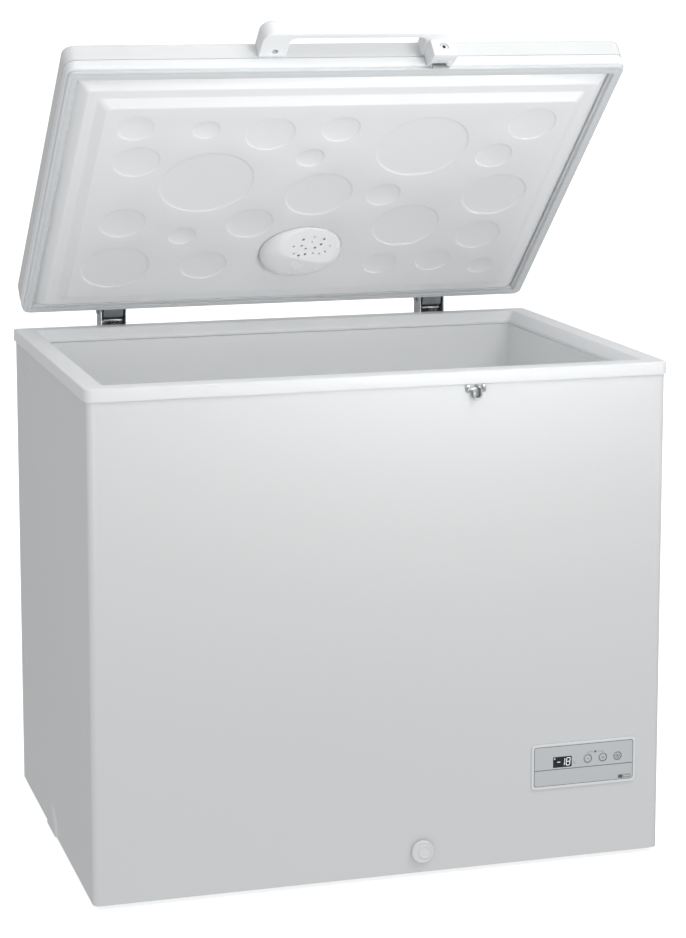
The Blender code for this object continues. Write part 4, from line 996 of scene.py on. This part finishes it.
def dome_drop(u, v):
    """How far the lens stands out at a place in its oval: a dome cut by a flat sloping facet."""
    r = min(1.0, math.hypot(u, v))
    dome = LAMP_DROP * math.sqrt(max(0.0, 1 - r ** 4.5))
    facet = FACET_DROP + FACET_SLOPE_U * u + FACET_SLOPE_V * v
    blend = max(0.0, min(1.0, 0.5 + (dome - facet) / (2 * FACET_SOFT)))
    return max(0.0, dome * (1 - blend) + facet * blend - FACET_SOFT * blend * (1 - blend))


def lamp_lens():
    """Oval lamp cover: a dome cut by a sloping facet with a fan of small vent holes."""
    seat, base = PLATEAU_Z - GAP, PLATEAU_Z + 0.0008
    shares = [0.004, 0.10, 0.20, 0.30, 0.40, 0.48, 0.56, 0.64, 0.71, 0.77, 0.82, 0.86, 0.90, 0.93, 0.955,
              0.975, 0.99, 1.0]
    places = circle(0.0, 0.0, 1.0, 96)

    def ring(share, wall):
        half_w, half_d = (LAMP_HALF_W - wall) * share, (LAMP_HALF_D - wall) * share
        return [(half_w * u, LAMP_Y + half_d * v, min(base, seat - dome_drop(share * u, share * v) + wall))
                for u, v in places]

    rings = [ring(share, 0.0) for share in shares]
    rings.append([(x, y, base) for x, y, z in rings[-1]])
    rings += [ring(share, LENS_WALL) for share in shares[-3::-1]]
    lens = loft("lamp_lens", rings, angle=40)
    for row, first, last, count in LENS_FAN:
        for i in range(count):
            angle = math.radians(first + (last - first) * i / (count - 1))
            x, y = LENS_FAN_X + row * math.cos(angle), LENS_FAN_Y - row * math.sin(angle)
            radius = 0.0022 if i % 2 else 0.0017
            cut(lens, bore((x, y, PLATEAU_Z - 0.014), "Z", radius, 0.012, 14))
    settle(smooth_again(lens, 40), "lid", "lens", "light_lens", lid=True)


def pull_handle():
    """Arched pull with soft edges, whose right foot carries the lock's housing."""
    near, far, bar = LID_FRONT - GAP, HANDLE_FAR, HANDLE_FAR + HANDLE_BAR_T
    outer_r, inner_r, steps = 0.020, 0.012, 10
    outer, inner = [(-HANDLE_HALF_W, near)], [(-HANDLE_HALF_W + HANDLE_FOOT_W, near)]
    for sign, start in ((-1, 180), (1, 270)):
        for i in range(steps + 1):
            angle = math.radians(start + 90 * i / steps)
            cx = sign * (HANDLE_HALF_W - outer_r)
            outer.append((cx + outer_r * math.cos(angle), far + outer_r + outer_r * math.sin(angle)))
            ix = sign * (HANDLE_HALF_W - HANDLE_FOOT_W - inner_r)
            inner.append((ix + inner_r * math.cos(angle), bar + inner_r + inner_r * math.sin(angle)))
    outer.append((HANDLE_HALF_W, near))
    inner.append((HANDLE_HALF_W - HANDLE_FOOT_W, near))
    handle = prism("pull_handle", outer + inner[::-1], "Z", *HANDLE_Z)
    bevelled(handle, 0.0022, 4, 60)
    lock_lo = (LOCK_X - LOCK_HALF_W, LOCK_PLATE_Y, LOCK_LOW)
    lock_hi = (LOCK_X + LOCK_HALF_W, LID_FRONT - 0.0005, HANDLE_Z[0] + 0.006)
    join(handle, bevelled(box("housing", lock_lo, lock_hi), 0.0016))
    slope = [(LOCK_PLATE_Y + 0.007, LOCK_LOW - 0.003), (LID_FRONT + 0.002, LOCK_LOW - 0.003),
             (LID_FRONT + 0.002, LID_Z - 0.002), (LID_FRONT - 0.018, LOCK_LOW + 0.003),
             (LOCK_PLATE_Y + 0.007, LOCK_LOW)]
    cut(handle, prism("slope", slope, "X", LOCK_X - 0.03, LOCK_X + 0.03))
    cut(handle, box("cavity", (LOCK_X - LOCK_HALF_W + 0.003, LID_FRONT - 0.0135, LOCK_LOW - 0.0085),
                    (LOCK_X + LOCK_HALF_W - 0.0025, LID_FRONT - 0.0005, LID_Z)))
    pivot_x, pivot_y, pivot_z = HOOK_PIVOT
    stud = [(0.0045, LOCK_PLATE_Y + 0.02), (0.0045, pivot_y - 0.0018), (0.0023, pivot_y - 0.0018),
            (0.0021, pivot_y + 0.0035)]
    join(handle, turned("stud", (pivot_x, 0.0, pivot_z), "Y", stud, 28))
    cut(handle, bore((LOCK_X, LOCK_PLATE_Y, LOCK_Z), "Y", 0.0072, 0.006, 40))
    crescent(handle)
    low = HANDLE_Z[0]
    recess = [(0.0054, low - 0.01), (0.0054, low), (0.0048, low + 0.0008), (0.0048, low + 0.0120)]
    cut(handle, turned("recess", (*HANDLE_SCREW, 0.0), "Z", recess, 28))
    settle(smooth_again(handle, 30), "lid", "white_plastic", "lid_handle", lid=True)
    head = [(0.0041, low + 0.0078), (0.0041, low + 0.0092), (0.0020, low + 0.0117)]
    cap = turned("handle_screw_head", (*HANDLE_SCREW, 0.0), "Z", head, 24, MATS["spring_steel"])
    cross_slots(cap, (*HANDLE_SCREW, low + 0.0078), "Z", 0.0024)
    settle(smooth_again(cap), "lid", "zinc", "handle_screw", lid=True)


def crescent(handle):
    """Curved slot in the underside of the lock's housing."""
    angles = [math.radians(200 + 140 * i / 14) for i in range(15)]
    x, y = LOCK_X - 0.001, LOCK_PLATE_Y + 0.0135
    rows = [[(x + radius * math.cos(a), y - radius * math.sin(a)) for a in angles]
            for radius in (0.0085, 0.0070)]
    cut(handle, prism("crescent", rows[0] + rows[1][::-1], "Z", LOCK_LOW - 0.0085, LOCK_LOW + 0.0050))


def lock_cylinder():
    """Key cylinder set a little below the plate, with its keyway, whose floor is a near-black piece of painted
    shade.
    """
    profile = [(0.0002, 0.0008), (0.0052, 0.0008), (0.0058, 0.0012), (0.0061, 0.0020), (0.0061, 0.0055),
               (0.0002, 0.0055)]
    barrel = turned("lock_cylinder", (LOCK_X, LOCK_PLATE_Y, LOCK_Z), "Y", profile, 40)
    keyway = rounded_rectangle(LOCK_X - 0.0026, LOCK_X + 0.0026, LOCK_Z - 0.0034, LOCK_Z + 0.0034, 0.0025, 5)
    cut(barrel, prism("keyway", keyway, "Y", LOCK_PLATE_Y - 0.01, LOCK_PLATE_Y + 0.0048))
    settle(smooth_again(barrel), "lock_barrel", "white_plastic", "lock_barrel", lid=True)
    # Near-black piece just inside the shallow keyway: painted shade standing in for the keyway's depth.
    floor = prism("keyway_shade_piece", keyway, "Y", LOCK_PLATE_Y + 0.0014, LOCK_PLATE_Y + 0.0046, KEYWAY_SHADE)
    settle(floor, "lock_barrel", "black_plastic", lid=True)


# Stage, lights and camera


def studio_floor():
    bm = bmesh.new()
    bmesh.ops.create_grid(bm, x_segments=1, y_segments=1, size=FLOOR_SIZE)
    n = Nodes("floor_pale")
    n.set(Base_Color=n.mix(n.noise(0.8), (0.86, 0.86, 0.86, 1.0), (0.88, 0.88, 0.88, 1.0)), Roughness=0.9)
    n.set(Emission_Color=(1.0, 1.0, 1.0, 1.0), Emission_Strength=FLOOR_GLOW)
    floor = finish_mesh("floor", bm, n.material)
    floor.visible_diffuse = False
    floor.visible_glossy = False


def sky():
    """Soft surroundings: an even base, brighter overhead and brighter again from the low front."""
    world = bpy.data.worlds.new("studio")
    bpy.context.scene.world = world
    world.use_nodes = True
    tree = world.node_tree
    direction = tree.nodes.new("ShaderNodeTexCoord").outputs["Generated"]

    def lobe(towards, amount):
        dot = tree.nodes.new("ShaderNodeVectorMath")
        dot.operation = "DOT_PRODUCT"
        dot.inputs[1].default_value = Vector(towards).normalized()
        spread = tree.nodes.new("ShaderNodeMapRange")
        spread.inputs["To Max"].default_value = amount
        tree.links.new(direction, dot.inputs[0])
        tree.links.new(dot.outputs["Value"], spread.inputs["Value"])
        return spread.outputs["Result"]

    level = lobe((0.0, 0.0, 1.0), SKY_TOP)
    for extra in (lobe((-0.20, -0.40, -0.90), SKY_LOW), None):
        add = tree.nodes.new("ShaderNodeMath")
        add.operation = "ADD"
        tree.links.new(level, add.inputs[0])
        if extra:
            tree.links.new(extra, add.inputs[1])
        else:
            add.inputs[1].default_value = SKY_BASE
        level = add.outputs[0]
    tree.links.new(level, tree.nodes["Background"].inputs["Strength"])
    tree.nodes["Background"].inputs["Color"].default_value = (0.98, 0.99, 1.0, 1.0)


def area_light(name, place, aim, size, power, spread=180):
    data = bpy.data.lights.new(name, "AREA")
    data.shape = "RECTANGLE"
    data.size, data.size_y = size
    data.energy = power
    data.spread = math.radians(spread)
    light = bpy.data.objects.new(name, data)
    bpy.context.scene.collection.objects.link(light)
    light.location = place
    light.visible_camera = False
    light.rotation_euler = (Vector(aim) - Vector(place)).to_track_quat("-Z", "Y").to_euler()


def camera():
    data = bpy.data.cameras.new("camera")
    data.lens, data.sensor_width = CAMERA_LENS, 36.0
    data.shift_y = CAMERA_SHIFT
    data.clip_start, data.clip_end = 0.05, 200.0
    view = bpy.data.objects.new("camera", data)
    bpy.context.scene.collection.objects.link(view)
    view.location = CAMERA_PLACE
    view.rotation_euler = (math.radians(90 - CAMERA_PITCH_DEG), 0.0, math.radians(-CAMERA_TURN_DEG))
    bpy.context.scene.camera = view


def carry_over():
    """Gives every CAD node the finish of its slot in the record."""
    for part in frame["record"]["subparts"]:
        for slot in NODES[part["node"]].material_slots:
            slot.material = MATS[part["material_slot"]]


carry_over()
camera()
studio_floor()
sky()
area_light("key", (0.9, -1.6, 2.4), (0.0, -0.3, 0.80), (1.2, 1.2), 14.5)
area_light("lid_beam", (1.1, -3.0, 0.90), (-0.12, 0.1, 1.26), (1.0, 0.6), 1.6, 32)
area_light("tub_bounce", (0.0, -0.02, 0.55), (0.0, 0.15, 1.10), (0.7, 0.4), 0.3)
bpy.context.scene.view_settings.view_transform = "Standard"

cabinet_wrap()
rim()
tub()
back_sheet()
vent_grille()
control_panel()
drain_front()
striker_plate()
lid_shell()
lid_surround()
door_seal()
inner_panel()
foam_core()
lamp_lens()
pull_handle()
lock_cylinder()
for side in ("left", "right"):
    softened(f"hinge_base_{side}", "cabinet", "galvanised", 0.0005)
    softened(f"hinge_arm_{side}", "lid", "zinc", 0.0005)
    softened(f"hinge_follower_{side}", f"hinge_follower_{side}", "galvanised", 0.0004)
    coil_spring(side)
softened("rear_cover", "cabinet", "galvanised", 0.0004)
